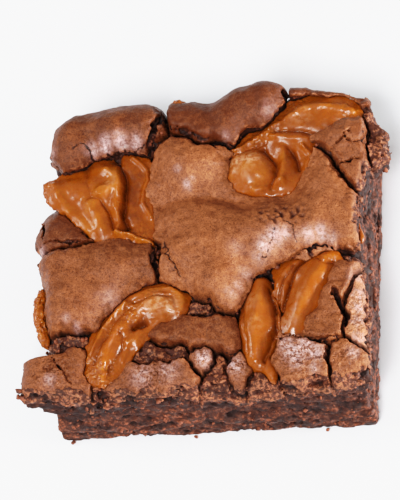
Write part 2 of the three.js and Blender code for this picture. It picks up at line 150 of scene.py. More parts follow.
CRUMB_PATCHES = {
    "left": (18, 0.6, 1.5, [(-28.8, -19.2, 1.6), (-26.3, -19, 1.5)]),
    "front": (18.4, 0.6, 1.5, [(-12, -22.9, 1.6), (-8.4, -23, 1.6), (-4.6, -23, 1.2)]),
    "between_chips": (17.4, 0.4, 1, [
        (2.6, -29.3, 2.2), (2.8, -26.6, 1.3), (3.2, -24.8, 1.2), (11.2, -30.2, 2)]),
    "centre": (18.2, 0.6, 1.5, [(-1.8, -13.4, 1.2), (0.7, -13.6, 1.2)]),
    "arc": (18.9, 0.2, 1, [(27.4, -3, 0.45), (28.9, -3.6, 0.45)]),
    "left_edge": (17.8, 0.2, 1, [
        (-34.6, -7.5, 0.6), (-34.7, -10.5, 0.7), (-34.6, -13.5, 0.7), (-34, -16.4, 0.8)]),
    "under_back_left": (17.2, 0.4, 1.2, [(-33.6, 19, 1.2)]),
    "right_back": (18.6, 0.8, 1.5, [(35.6, 26.2, 2.2), (36.2, 21.8, 2.6), (35.4, 17.8, 1.6)]),
}
CARAMEL_BEDS = {
    "back_left": (18.2, -2.4, 2, [
        (-32.4, 16.4, 1.2), (-31, 15.2, 2.8), (-26.5, 14.4, 5.4), (-21, 15.8, 7), (-17.3, 18.4, 4.2),
        (-25.8, 9.4, 3.2), (-21.5, 8.4, 4.8), (-16.5, 8, 4.2), (-13.6, 4.8, 2.2)]),
    "back_right": (18.2, -2.4, 2, [
        (8.3, 17.3, 4.2), (13.8, 16.8, 5), (17.5, 20.5, 3), (9.8, 22, 3.6), (15, 25, 4),
        (19, 28.3, 4.6), (25, 29.3, 3.8), (28.8, 29.2, 2)]),
    "front_left": (17.8, -2.2, 2, [
        (-20.6, -25.6, 3.4), (-19.7, -22, 4), (-16.4, -16.8, 4.3), (-11.4, -12.8, 4.3),
        (-7.8, -11.6, 3.6)]),
    "front_middle": (17.8, -2, 2, [
        (11.8, -9.4, 1.6), (11.2, -13, 3.2), (11, -17.2, 4.2), (11, -22, 3.3), (11, -25.8, 2)]),
    "front_right": (18, -2, 2, [
        (24.6, -5.2, 1.8), (21.8, -9.5, 3), (19.4, -14.5, 3), (18, -18.5, 2.2), (17.2, -7.4, 2.5),
        (15.4, -11, 1.5)]),
}
BED_SLACK = 0.7  # how far past its discs a bed can spread
BED_UNDERCUT = 0.7  # hollow under the crust's edge round a bed
BED_LIP = 0.5  # how far the crust's edge is past its dome's edge there
PATCH_TONE = 0.5
PATCH_TORN = 0.5  # how much a patch has the colours of a broken edge

# Cracks: width at the top, depth and path in plan

CRACK_END = 0.35  # width at an end, as a share
CRACK_NARROWING = 0.6  # share of the width that is gone at the bottom
CRACKS = [
    (1.6, 4, [(-9.5, 34), (-9.8, 30), (-11.2, 26), (-12.3, 22), (-12.6, 18.5)]),
    (0.5, 1.8, [(-9, 27), (-6.1, 26.2), (-3.9, 25), (-0.7, 23.6), (1.4, 21.8), (2.3, 20.4)]),
    (0.9, 2.6, [(-12.2, 3), (-10.8, -0.2), (-10.7, -3), (-10.1, -7.6)]),
    (0.8, 2, [(-35.8, 9), (-34.6, 6.5), (-34.7, 4)]),
    (0.6, 1.8, [(-35.3, 2.6), (-32.8, 3.2), (-30.4, 2.8), (-26, 2.2)]),
    (1.4, 2.4, [(-26, 4.6), (-24, 3.6)]),
    (1.8, 3, [(26.6, -12), (27.3, -14), (28, -16.2)]),
    (1, 3, [(27.3, -14.5), (28.6, -17.6), (28.4, -22)]),
    (0.6, 2.2, [(15.5, -21.8), (19.6, -21.9), (24, -22.6), (27, -22.2), (31, -23.8)]),
    (0.4, 1.6, [(25.7, -23.4), (25.1, -26.4), (25.8, -29.6)]),
    (0.4, 1.4, [(-31.3, -23), (-29.4, -25.6), (-26.9, -29.2)]),
    (0.5, 1.6, [(-33, -22.6), (-29.5, -20.8), (-25.5, -20.8)]),
    (0.5, 1.8, [(29.7, 24), (28.2, 21.3), (25.4, 19.1)]),
    (0.4, 1.4, [(28.2, 21.3), (30.2, 20.4), (32.2, 20.6)]),
    (0.5, 1.6, [(27, 15.8), (28.6, 16.6), (31.6, 16.8)]),
    (2.2, 4.5, [(15.4, 34.5), (16.6, 32.2), (17.4, 30)]),
    (0.6, 1.6, [
        (9.2, -8.8), (11.3, -7.3), (14, -5.9), (16.7, -4.5), (19.8, -3.1), (23, -2.2), (26, -2.3)]),
]
# Hairlines are only painted and bumped, not carved: dark lines that are partly the crumb in a fine crack
# and partly painted shade in it.
HAIRLINES = [
    [(14.9, 1.4), (14.3, -0.9), (13.2, -3.1), (12, -4.8)],
    [(17, 2.1), (18.3, 0.7), (19.4, -1.7)],
    [(-28.5, 22.6), (-26.6, 23.8), (-25, 22.4), (-24.2, 20.8)],
    [(-8.8, 0.4), (-7.6, -2.4), (-6.2, -5), (-4.6, -7.4)],
    [(-24.4, 21.2), (-20.8, 21.9), (-17, 22.5), (-13.4, 22.8)],
]
HAIRLINE_THINNESS = 2.0  # how much thinner than a crack they are

# What the paint of the body reads: the values that its crack and depth attributes end at, the
# wander of the crust's lower border, the distances to a bed between which crust starts, and the
# depths between which the colours of a broken edge fade

FARTHEST_CRACK = 2.0
DEEPEST_PAINT = 12.0
PAINT_WANDER = [(1.4, 0.25)]
BED_BORDER = (-0.3, 0.1)
TORN_FADE = (0.5, 2.0)

# Outline of the crust as (distance along the side, distance outwards from the square base)

CRUST_OUTLINE = {
    "left": [
        (-33, 3.6), (-29, 5.3), (-23.2, 5.1), (-22.2, -1.2), (-19.8, 0.3), (-15.6, 1.5), (-12, 2.4),
        (-5, 1.9), (0.8, 2.6), (5, 4), (10, 3), (13.5, 0.9), (23, 1), (28.5, 0.2), (33, -2.8)],
    "right": [
        (-33, -0.6), (-28.5, 0.6), (-18, 0.6), (-11, -0.3), (-5, -1.2), (3, -1.6), (9, -1.8),
        (15, -0.5), (19.5, 4.2), (24.5, 3.8), (28, 0.8), (33, -0.2)],
    "front": [(-33, -1.8), (-26, -0.9), (-10, -0.7), (0, -1.1), (20, -0.7), (27, -1.2), (33, -3)],
    "back": [
        (-33, -3.6), (-28, -1.2), (-18, 0.4), (-9, 0.2), (0, 0), (6.5, 3), (11, 4),
        (16, 3), (26, 1.4), (33, -1)],
}
RIM_ROLL = {"left": (3.2, 4.5), "right": (1.5, 1.8), "front": (2.4, 2.6), "back": (3.0, 5.0)}
LIP_START, LIP_END = 0.56, 0.8  # shares of the height between which the crust comes out
SHARES_FROM = -1.0  # height that these shares start at
UNDERCUT = 1.3
UNDERCUT_START, UNDERCUT_END = 0.35, 0.95
FOOT_SPREAD = 0.2
CORNER_ROUND = 1.0
CRUST_ROUND, BED_ROUND, FOOT_ROUND = 0.6, 0.4, 0.3  # rounding of the other edges
JAG = [(2.6, 0.45), (0.9, 0.15)]  # cell and size of the torn outline
BROKEN_RIM = {"left": 0.2, "right": 0.7, "front": 1.9, "back": -0.8}  # where it has broken off
BROKEN_WANDER = [(5.0, 1.0), (2.0, 0.8), (0.8, 0.45)]
BROKEN_STEPS = [(0.0, 0.6), (1.3, 0.8)]  # distance out and height of the torn layers
LAYER_WANDER = [(1.6, 0.5)]
LAYER_EDGE = 0.25  # width in plan of the step down from a layer
BARE_EDGE = 0.3  # width over which crust turns bare there
TORN_REACH = 0.35  # width of the pale band along a broken edge
CRUMB_RECESS = 0.5  # how far the crumb lies behind the crust's edge

# Relief of torn crumb: cells along X, Y and Z, and size

CRUMB_RELIEF = [
    ((5, 5, 1.7), 1.3), ((2.4, 2.4, 1.1), 0.8), ((1.1, 1.1, 0.8), 0.6), ((0.6, 0.6, 0.5), 0.3)]
FLAKY_RELIEF = [((2.0, 2.0, 1.0), 0.9)]
CUT_FLAT = 0.7  # share of it that a knife has cut off outwards
RELIEF_REACH = 1.6  # relief is worked out this near the surface
LEAST_CRUMB = 0.01  # and where there is more crumb than this

# Hollows torn into the sides: x, y, z, radius along X, Y and Z

HOLLOW_RELIEF = [(1.0, 0.3)]
HOLLOWS = [
    (23.6, -32.6, 16.8, (2.6, 2.2, 1.1)), (28.2, -32.2, 16.8, (2, 2, 1)),
    (-21.8, -32, 16.8, (2.2, 2.2, 1.1)), (-35.2, -31, 17.4, (1.5, 1.6, 0.9)),
    (11, -32.8, 15.6, (3, 2, 0.9)), (-8, -33, 14.6, (3.6, 2, 0.9)),
]

# A sheet of caramel fills each bed: its level, and how far it reaches under the crust

SHEETS = {"back_left": 19.2, "back_right": 19.4, "front_left": 18.4, "front_right": 18.2}
SHEET_SPREAD = 0.5
SHEET_EDGE = 0.8  # rounding of its upper edge
SHEET_BLEND = 2.4
TONGUE_SPREAD = {"front_middle": 0.55, "front_right": 0.6}  # for the runs that don't fill their beds

# Folds of the caramel: height above the sheet (below it where negative), half width, path in plan

FOLDS = {
    "caramel_back_left": [
        (0.7, 1.2, [(-33, 16.4), (-32.2, 13.9), (-30.4, 11.2), (-27.2, 8), (-24.6, 4.6)]),
        (1.2, 1.5, [(-21.4, 19), (-19.9, 16.8), (-20.4, 14.2), (-22.8, 12.9)]),
        (0.8, 1.6, [(-25.2, 11), (-24, 8.6), (-22.4, 5.8)]),
        (-1.5, 0.55, [(-20, 21.6), (-17.9, 18), (-17.5, 13.3), (-17.9, 9), (-17, 5.6)]),
        (-0.9, 0.45, [(-24.4, 12.6), (-22.4, 11.4), (-20.8, 9.2), (-19.8, 5.4)]),
        (0.9, 0.8, [(-19.2, 19.8), (-18.9, 14.8), (-19.4, 10.6), (-18.5, 7.4), (-18.9, 4.9)]),
        (-0.5, 2.4, [(-15.8, 19), (-15.6, 13), (-15.2, 7)]),
        (0.5, 3, [(-27, 15.4), (-24, 13)]),
        (-0.5, 0.6, [(-26, 20.2), (-25.6, 16.4), (-24.6, 13)]),
        (0.5, 0.5, [(-16.4, 22), (-14.3, 20), (-13.1, 17.2), (-13.9, 13.6), (-14, 11), (-12.2, 8)]),
        (0.9, 0.6, [(-19.2, 4.3), (-16.8, 3.7), (-13.9, 2.4), (-11.4, 1.2)]),
    ],
    "caramel_back_right": [
        (0.9, 4, [(7, 16.9), (9.2, 16)]),
        (-1.4, 0.7, [(11.2, 21.6), (13.3, 19), (13.9, 15.8), (13, 12.8)]),
        (0.8, 1.1, [(15.2, 21.4), (15.7, 17.6), (14.9, 14.2)]),
        (-1.2, 0.7, [(16.4, 21.8), (18, 19.6), (18.4, 17)]),
        (0.6, 0.6, [(19.4, 22), (20.8, 19.8), (20, 17)]),
        (0.5, 0.7, [(9.6, 12.2), (12.4, 12.7), (15.6, 13.8)]),
        (-0.9, 0.5, [(13.6, 25.8), (17, 25.3), (20.2, 25.2), (23.4, 23.6)]),
        (0.5, 0.7, [(12.8, 24.6), (16.6, 23.8), (20.4, 23.6)]),
        (0.6, 0.9, [(16, 28.4), (19, 30.2), (22.4, 30.9), (26.6, 30.3), (29.4, 29.4)]),
        (0.5, 0.5, [(2.6, 21.6), (6.4, 22.5), (10.2, 25), (14.4, 27.8)]),
        (-0.5, 0.5, [(3.8, 20.4), (7.6, 21.6), (11.6, 23.4)]),
    ],
    "caramel_front_left": [
        (0.6, 0.8, [
            (-18, -13.2), (-14.9, -10.4), (-11.6, -9), (-8.3, -8.6), (-5.8, -9.9), (-4.4, -12.2),
            (-5.2, -14.4)]),
        (-0.6, 0.5, [(-14.8, -12), (-12.3, -11.1), (-9.5, -10.3), (-7, -10.9), (-6.1, -13)]),
        (0.7, 0.6, [(-23.8, -23.7), (-21.9, -19.3), (-19.4, -15.4), (-16.4, -12.3)]),
        (-0.6, 0.4, [(-22.3, -24.6), (-20.6, -20), (-18.2, -16), (-15.6, -13.4)]),
        (0.4, 0.5, [(-21.4, -25.4), (-19.6, -20.8), (-17.6, -17.6)]),
        (-1.9, 0.7, [(-14.4, -17.6), (-12.8, -16.7)]),
        (0.9, 2.2, [(-12, -12.4), (-9.4, -11.8), (-7, -12.2)]),
        (0.6, 1, [(-15.6, -20.8), (-12.2, -18.3), (-8.8, -15.6)]),
        (-0.6, 0.6, [(-17.6, -18.3), (-16.4, -20.4), (-17.8, -23.4), (-19.8, -26)]),
    ],
    "caramel_front_middle": [
        (0.5, 1.5, [(11.6, -8.6), (11, -15), (9.9, -19.6), (9.6, -25.8)]),
        (-0.7, 0.4, [(13, -10), (14.5, -15.2), (14.4, -20), (13.3, -23.6), (12.4, -26.4)]),
        (0.4, 0.5, [(14.6, -12.6), (15.4, -16.6), (14.9, -20.6)]),
        (-0.4, 0.4, [(8, -12.4), (7.9, -17), (8.9, -21.9), (9.2, -24.4)]),
    ],
    "caramel_front_right": [
        (0.4, 1.6, [(24.6, -5), (22.2, -9.6), (19.6, -15), (18.4, -19.4)]),
        (-1.2, 0.4, [(20.5, -4.6), (18.2, -8.1), (16.5, -12.7), (15.7, -16.2)]),
        (-0.7, 0.35, [(18.2, -5.8), (16, -9.2), (15, -12.6)]),
        (-0.5, 0.3, [(23.2, -4.6), (24.2, -5.8), (25.6, -6), (26.6, -5.2)]),
    ],
}
CREASE_WIDTH = 1.0  # a hollow narrower than this is a sharp crease
FOLD_WANDER = [(3.0, 0.4), (1.2, 0.1)]
FOLD_FLOOR, FOLD_FULL = 16.5, 18.5  # heights where folds start and are full
CARAMEL_SOFTENING = 0.9  # how far the facets of a caramel solid are melted
CARAMEL_RELIEF = [((3.4, 3.4, 3.4), 0.25), ((1.2, 1.2, 1.2), 0.05)]
PULL_RELIEF = [((1.3, 6.0, 2.0), 0.4), ((0.6, 3.0, 1.0), 0.16)]  # cells across, along and up
PULLS = {  # strength and way in plan of each run's pull
    "caramel_back_left": (0.22, [(-24, 23), (-21.5, 14), (-18, 3)]),
    "caramel_back_right": (0.25, [(4, 9), (15, 20), (30, 33)]),
    "caramel_front_left": (0.8, [(-20.5, -29), (-18.5, -20), (-13.5, -13.5), (-5, -11.5)]),
    "caramel_front_middle": (0.35, [(11.8, -7), (10.8, -16), (11.5, -29)]),
    "caramel_front_right": (0.1, [(25, -3), (21.5, -10), (18, -20)]),
}
BUBBLY = [
    (-15.5, -15.2, 2.6, 1), (-18.8, -17.5, 2.2, 0.8), (-21.5, -26.8, 3.4, 1.5), (-11.5, -9.6, 2, 0.5),
    (4.8, 22.2, 2.2, 1), (9, 24.3, 2.2, 0.9), (12.8, 27, 2.2, 0.9), (-14.5, 2.8, 3, 1),
    (-18.5, 10.5, 2, 0.6), (-7.4, 33, 3, 1), (18.5, 31.5, 2.5, 0.8), (29.5, 30, 2.5, 0.8),
    (8, -19, 1.6, 0.8), (10, -26.5, 2.2, 0.4), (25.8, -4.2, 1.6, 0.6), (-34, 16, 2, 0.5),
    (-36, -12, 9, 1.5),
]
DULL_SPOTS_WITH_PAINTED_HIGHLIGHT = [  # where its surface is set and dull, with a broad pale highlight painted on: x, y, radius, strength
    (6.2, 18.4, 1.7, 1.3), (8.8, 19, 1.6, 1.2), (7.2, 16.4, 2.2, 0.4), (-9.6, -12.4, 2.2, 0.8),
    (-7.4, -12.8, 1.8, 0.8), (17.4, -17.6, 2, 0.4), (19.4, -12.8, 1.6, 0.3), (18.6, 28.6, 2.4, 0.4),
    (-20.4, 15.2, 1.2, 0.6), (9.4, -13.4, 1.8, 0.3), (10.4, -18.6, 1.8, 0.3),
]
BUBBLE_RELIEF = [((1.1, 1.1, 0.9), 0.5), ((0.6, 0.6, 0.6), 0.25)]
CARAMEL_REACH = 3.0  # distances from a caramel solid are true up to this
CARAMEL_RELIEF_REACH = 1.0  # its relief is worked out this near the surface
CARAMEL_GAP = 0.12  # clearance between caramel and crumb
POCKET_REACH = 1.2  # distances from a run are true up to this in the body

# Crumbs that cling to the torn sides

CRUMB_COUNT = 1500
CRUMB_RADIUS = 0.28
CRUMB_SPREAD = 0.35
CRUMB_LIFT = -0.2  # how far a crumb's middle is out of the face, in radii
CRUMB_STRETCH = (0.6, 1.2)  # least and most
CRUMB_LUMPS = [(0.6, 0.6)]
CRUMB_NOISE_STEP = 5.3  # from one crumb to the next, so that no two are alike
CRUMB_LOWEST = 0.6
CLUMPS = [  # larger ones that hang on an edge: x, y, z, radius
    (-38.5, -28.9, 16.4, 0.8), (-38.7, -29.9, 15.8, 0.55), (-37.9, -30.2, 16, 0.5),
    (-30.5, -33.4, 0.5, 0.45), (-4.8, -33.5, 0.45, 0.4), (22.4, -33.4, 0.5, 0.45),
]

# Glossy spots on the crust, with a pale highlight painted into their colour, and its dark pitted places:
# x, y, radius, strength

SHEEN = [
    (11.2, -4.2, 1.4, 0.6), (12.6, -2.2, 1.6, 1.2), (14.7, -0.5, 1.6, 1.4), (16.7, 0, 1.3, 1),
    (19.2, -0.6, 1.2, 0.4), (21.5, -0.4, 1.4, 1), (24, -0.1, 1.5, 1), (26, -1.1, 1.2, 0.7),
    (8.6, -7.6, 1.2, 0.6), (7.2, -10.4, 1, 0.6), (5.7, -12, 1.2, 0.5), (6.6, -2.6, 1.6, 0.3),
    (17, -23.6, 1.5, 1.1), (18.6, -25.2, 2, 1.2), (20.8, -24.2, 1.6, 1.1), (22.8, -25.5, 1.6, 1.1),
    (19.2, -27.3, 1.4, 0.9), (22.6, -28.8, 1.1, 0.7), (0, -25.2, 1.6, 1.3), (6.4, -27, 1.6, 1.1),
    (-12.5, -28.2, 2, 0.7), (-7, -27.6, 2, 0.7), (-31.6, -28.2, 1.2, 0.6), (3.3, -29.5, 1, 0.6),
    (-35.1, 1.6, 0.9, 1.3), (-5.9, 16.2, 0.7, 0.8), (-4.1, 13.1, 0.8, 1), (-2.9, 14.2, 0.5, 0.6),
    (-24.4, 22.8, 1.3, 1.1), (-21.6, 23.4, 1.4, 1.5), (-18.4, 23.8, 1.4, 1.5), (-15.2, 23.6, 1.2, 1.3),
    (-33.2, 22.9, 1, 0.6), (12.8, 29, 1.6, 0.3), (3.7, 23.5, 0.9, 0.4),
    (-28, -15.7, 0.8, 0.6), (-26.1, -17.4, 0.8, 0.7), (-19.3, -11.2, 2, 0.35),
    (31.4, -9, 1.5, 0.9), (31.2, -13, 1.5, 0.9), (31.6, -16, 1.4, 1), (31.3, -19, 1.4, 0.8),
    (31.6, -23, 1.3, 0.9), (30.6, -25.8, 1.1, 0.8),
]
CRINKLED = [  # where the painted sheen highlight breaks up into glints, and where the crust's bump is crinkled
    (19.5, -26, 5, 1), (-10.5, -28.4, 5.5, 0.7), (-0.2, -25.2, 2, 1), (6.8, -27.4, 2.4, 1),
    (28.6, -26.5, 3.5, 0.7), (31.3, -15, 3, 0.7), (31.3, -20, 3, 0.7), (-31, -26.5, 4, 0.6),
]
PIT_CELL, PIT_DEPTH = 1.1, 0.6
PIT_RANGE = (-0.1, 0.5)  # noise where a pit starts and where it is full
PITTED = [
    (12.4, -7.5, 0.9, 1.6), (15.4, -5.6, 0.9, 1.6), (18.6, -3.9, 1.2, 1.8), (21.6, -3, 1.1, 1.8),
    (12.4, 5, 2.4, 1), (15.6, 4.4, 2.8, 1.4), (18.8, 4.2, 2.2, 1.2), (18.4, 1.6, 1.2, 1.2),
    (-8.4, -0.8, 1, 0.8), (-7.4, -3.2, 1, 0.8), (-6, -6.4, 1, 0.8), (-1.9, -0.6, 1.4, 0.5),
    (-1.4, -4.4, 1.2, 0.5), (8, -4.8, 1.3, 0.5),
]

# Colours, as the photograph shows them in sRGB

CRUST_COLOUR = (0.555, 0.335, 0.205)
CRUST_LIGHT = (0.72, 0.47, 0.32)
CRUST_DARK = (0.33, 0.15, 0.05)
# Painted highlight colour of the glossy spots on the crust
PAINTED_SHEEN_COLOUR = (0.90, 0.76, 0.76)
CRUMB_COLOUR = (0.28, 0.145, 0.10)
# The next two colours are the dark crumb, also used as painted shade in the cracks and the crumb's
# hollows, and moist crumb, also used as painted shadow under the crust's overhang.
CRUMB_DARK_AND_PAINTED_SHADE = (0.11, 0.05, 0.04)
CRUMB_MOIST_AND_SHADOWED = (0.155, 0.085, 0.075)
CRUMB_WARM = (0.54, 0.305, 0.21)
TORN_COLOUR = (0.70, 0.45, 0.31)
TORN_SHADE = (0.33, 0.17, 0.115)
# The caramel is painted lighter on its raised folds and darker in its creases: painted light and shade,
# and in the creases also the deeper colour of thick caramel. The lightest colour is also that of bubbly
# caramel.
CARAMEL_LIGHT = (0.68, 0.41, 0.13)
CARAMEL_COLOUR = (0.545, 0.278, 0.045)
CARAMEL_DEEP_AND_SHADED = (0.385, 0.172, 0.02)
# Painted broad highlight colour of the caramel's dull spots
CARAMEL_PAINTED_HIGHLIGHT = (0.86, 0.68, 0.55)
FLOOR_COLOUR = (0.935, 0.945, 0.965)
WORLD_COLOUR = (1.0, 0.985, 0.96)

# Finish: mottling of the crust's tone (cell, detail, roughness, darkest, lightest), how much of the
# painted sheen highlight shows where it is whole and where it is crinkled, and how flat the crumb's
# layers are

CRUST_MOTTLING = [(4.0, 6, 0.72, 0.84, 1.14), (1.3, 3, 0.6, 0.84, 1.14), (0.4, 3, 0.85, 0.56, 1.4)]
SHEEN_SHARES = (0.48, 0.66)
CRUMB_LAYERS = (1.6, 1.6, 0.6)
CARAMEL_SCATTER = (1.0, 0.4, 0.12)  # how far red, green and blue light spread in caramel

# Camera and light

IMAGE_WIDTH, IMAGE_HEIGHT = 400, 500
FOCAL_PIXELS = 3880
SENSOR = 36.0
CAMERA_AZIMUTH, CAMERA_ELEVATION, CAMERA_ROLL = 21.5, 60.0, 22.2
CAMERA_DISTANCE = 0.8
CAMERA_AIM = Vector((-3.3, 4.0, 11.0)) * MM
WORLD_STRENGTH = 0.52
LIGHTS = {  # place, width and height in metres, and power
    "key": ((-0.1, -1.0, 1.4), (0.6, 0.6), 35.5),
    "left": ((-1.2, 0.2, 0.9), (0.5, 0.5), 9.0),
    "right": ((1.5, -0.2, 0.12), (0.6, 0.2), 52.0),
}
TONE_WHITE = 2.0  # the brightest light that is told apart; the curve is light and what it shows as
TONE_CURVE = [(0.04, 0.023), (0.12, 0.102), (0.5, 0.5), (0.8, 0.7), (1.2, 0.89), (2.0, 0.93)]
FLOOR_SIZE = 6000.0


# Small helpers

def smoothstep(value, start, end):
    share = np.clip((value - start) / (end - start), 0, 1)
    return share * share * (3 - 2 * share)


def smooth_max(a, b, blend):
    """The greater of two fields, rounded over the blend where they meet."""
    share = np.clip(0.5 + 0.5 * (a - b) / blend, 0, 1)
    return b + (a - b) * share + blend * share * (1 - share)


def along_stops(stops, place):
    """Value at a place along (place, value) stops, eased from stop to stop."""
    places, values = np.array(stops, float).T
    after = np.clip(np.searchsorted(places, place), 1, len(places) - 1)
    share = smoothstep(place, places[after - 1], places[after])
    return values[after - 1] + (values[after] - values[after - 1]) * share


def noise(points, cell, seed):
    """Gradient noise, about -1 to 1, that changes over the cell's length, or over one for each
    axis. Every seed has its own noise."""
    directions = np.random.default_rng(SEED + seed).normal(size=(NOISE_CELLS,) * 3 + (3,))
    directions /= np.linalg.norm(directions, axis=-1, keepdims=True)
    directions = directions.astype(np.float32).reshape(-1, 3)
    place = (points / np.asarray(cell, np.float32)).astype(np.float32)
    corner = np.floor(place).astype(np.int32)
    share = place - corner
    ease = share * share * share * (share * (share * 6 - 15) + 10)
    total = np.zeros(points.shape[:-1], np.float32)
    for step in itertools.product((0, 1), repeat=3):
        index = (corner + np.array(step, np.int32)) % NOISE_CELLS
        flat = (index[..., 0] * NOISE_CELLS + index[..., 1]) * NOISE_CELLS + index[..., 2]
        slope = np.einsum("...i,...i->...", directions[flat], share - np.array(step, np.float32))
        weight = np.prod(np.where(np.array(step, bool), ease, 1 - ease), axis=-1)
        total += slope * weight
    return NOISE_GAIN * total


def octaves(points, layers, seed):
    """Sum of layers of noise, each with its cell and size."""
    return sum(size * noise(points, cell, seed + n) for n, (cell, size) in enumerate(layers))


def ridged(points, layers, seed):
    """Sum of layers of noise with sharp valleys, or sharp crests where its sign is turned."""
    return sum(
        size * (np.abs(noise(points, cell, seed + n)) - RIDGE_MIDDLE)
        for n, (cell, size) in enumerate(layers))


def spots(x, y, places):
    """Strength at plan points of soft spots (x, y, radius, strength)."""
    strength = np.zeros(x.shape)
    for cx, cy, radius, peak in places:
        strength = np.maximum(strength, peak * np.exp(-((x - cx) ** 2 + (y - cy) ** 2) / radius ** 2))
    return strength


def in_plan(x, y):
    return np.stack([x, y, np.zeros_like(x)], axis=-1)


def wandered(x, y, layers):
    """Plan points moved by noise, so that what is drawn there wanders."""
    flat = in_plan(x, y)
    return x + octaves(flat, layers, 10), y + octaves(flat, layers, 20)


def smooth_path(path, steps=5):
    """More points on a Catmull-Rom curve through a path's own."""
    ends = [path[0]] + list(path) + [path[-1]]
    before, start, end, after = (np.array(ends[n:len(ends) - 3 + n], float)[:, None] for n in range(4))
    t = np.arange(steps)[None, :, None] / steps
    curve = 0.5 * (
        2 * start + (end - before) * t + (2 * before - 5 * start + 4 * end - after) * t ** 2
        + (3 * start - before - 3 * end + after) * t ** 3)
    return np.vstack([curve.reshape(-1, 2), path[-1]])


def path_distance(x, y, path):
    """Distance in plan to a path, and the share of its length at the nearest point."""
    path = np.asarray(path, float)
    lengths = np.hypot(*np.diff(path, axis=0).T)
    starts = np.concatenate([[0], np.cumsum(lengths)])
    distance = np.full(x.shape, np.inf)
    share = np.zeros(x.shape)
    for (ax, ay), (bx, by), length, start in zip(path, path[1:], lengths, starts):
        t = np.clip(((x - ax) * (bx - ax) + (y - ay) * (by - ay)) / length ** 2, 0, 1)
        stretch = np.hypot(x - ax - t * (bx - ax), y - ay - t * (by - ay))
        nearer = stretch < distance
        distance = np.where(nearer, stretch, distance)
        share = np.where(nearer, (start + t * length) / starts[-1], share)
    return distance, share


def columns(values):
    """Plan values as they stand for a whole lattice, one for each of its columns."""
    return values.astype(np.float32)[:, :, None]


def linear(colour):
    """Linear values of an sRGB colour, with alpha, as shader sockets want them."""
    return [c / 12.92 if c <= 0.04045 else ((c + 0.055) / 1.055) ** 2.4 for c in colour] + [1.0]


# The top of the slice

def shoulder(inside, width):
    """Share of a dome's rise at a distance in from its edge: steep at first, then level."""
    return 1 - (1 - np.clip(inside / width, 0, 1)) ** SHOULDER_POWER


def area_distance(discs, x, y):
    """Distance to the edge of discs melted together, negative inside."""
    total = sum(np.exp(-(np.hypot(x - cx, y - cy) - radius) / DISC_BLEND) for cx, cy, radius in discs)
    return -DISC_BLEND * np.log(total)


def tilted(x, y, tilt, discs):
    """Height of a plate's tilt at plan points, none at its middle."""
    centre_x, centre_y, _ = np.mean(discs, axis=0)
    return tilt[0] * (x - centre_x) + tilt[1] * (y - centre_y)


def beyond_side(side, x, y):
    """Distance outwards from the square base on one side, and the place along that side."""
    across, along = (x, y) if side in ("left", "right") else (y, x)
    outwards = across if side in ("right", "back") else -across
    return outwards - SLICE / 2, along


def rim_fall(x, y):
    """How much lower the crust is near the slice's sides, the distance in from its outline, and
    the distance out past the line where it has broken off."""
    fall = np.zeros(x.shape)
    inside = np.full(x.shape, np.inf)
    past_break = np.full(x.shape, -np.inf)
    wander = octaves(in_plan(x, y), BROKEN_WANDER, 44)
    for side, outline in CRUST_OUTLINE.items():
        outwards, along = beyond_side(side, x, y)
        from_rim = np.maximum(along_stops(outline, along) - outwards, 0)
        drop, width = RIM_ROLL[side]
        fall = np.hypot(fall, drop * (1 - shoulder(from_rim, width)))
        inside = np.minimum(inside, from_rim)
        past_break = np.maximum(past_break, BROKEN_RIM[side] - from_rim - wander)
    layers = past_break + octaves(in_plan(x, y), LAYER_WANDER, 48)
    for start, drop in BROKEN_STEPS:
        fall = fall + drop * smoothstep(layers, start, start + LAYER_EDGE)
    return fall, inside, layers


def bumps(x, y):
    """Height of the swells less the depth of the valleys."""
    height = sum(
        rise * np.exp(-((x - cx) ** 2 + (y - cy) ** 2) / radius ** 2) for cx, cy, radius, rise in SWELLS)
    for depth, half_width, path in VALLEYS:
        distance, _ = path_distance(x, y, smooth_path(path))
        height -= depth * np.exp(-(distance / half_width) ** 2)
    return height


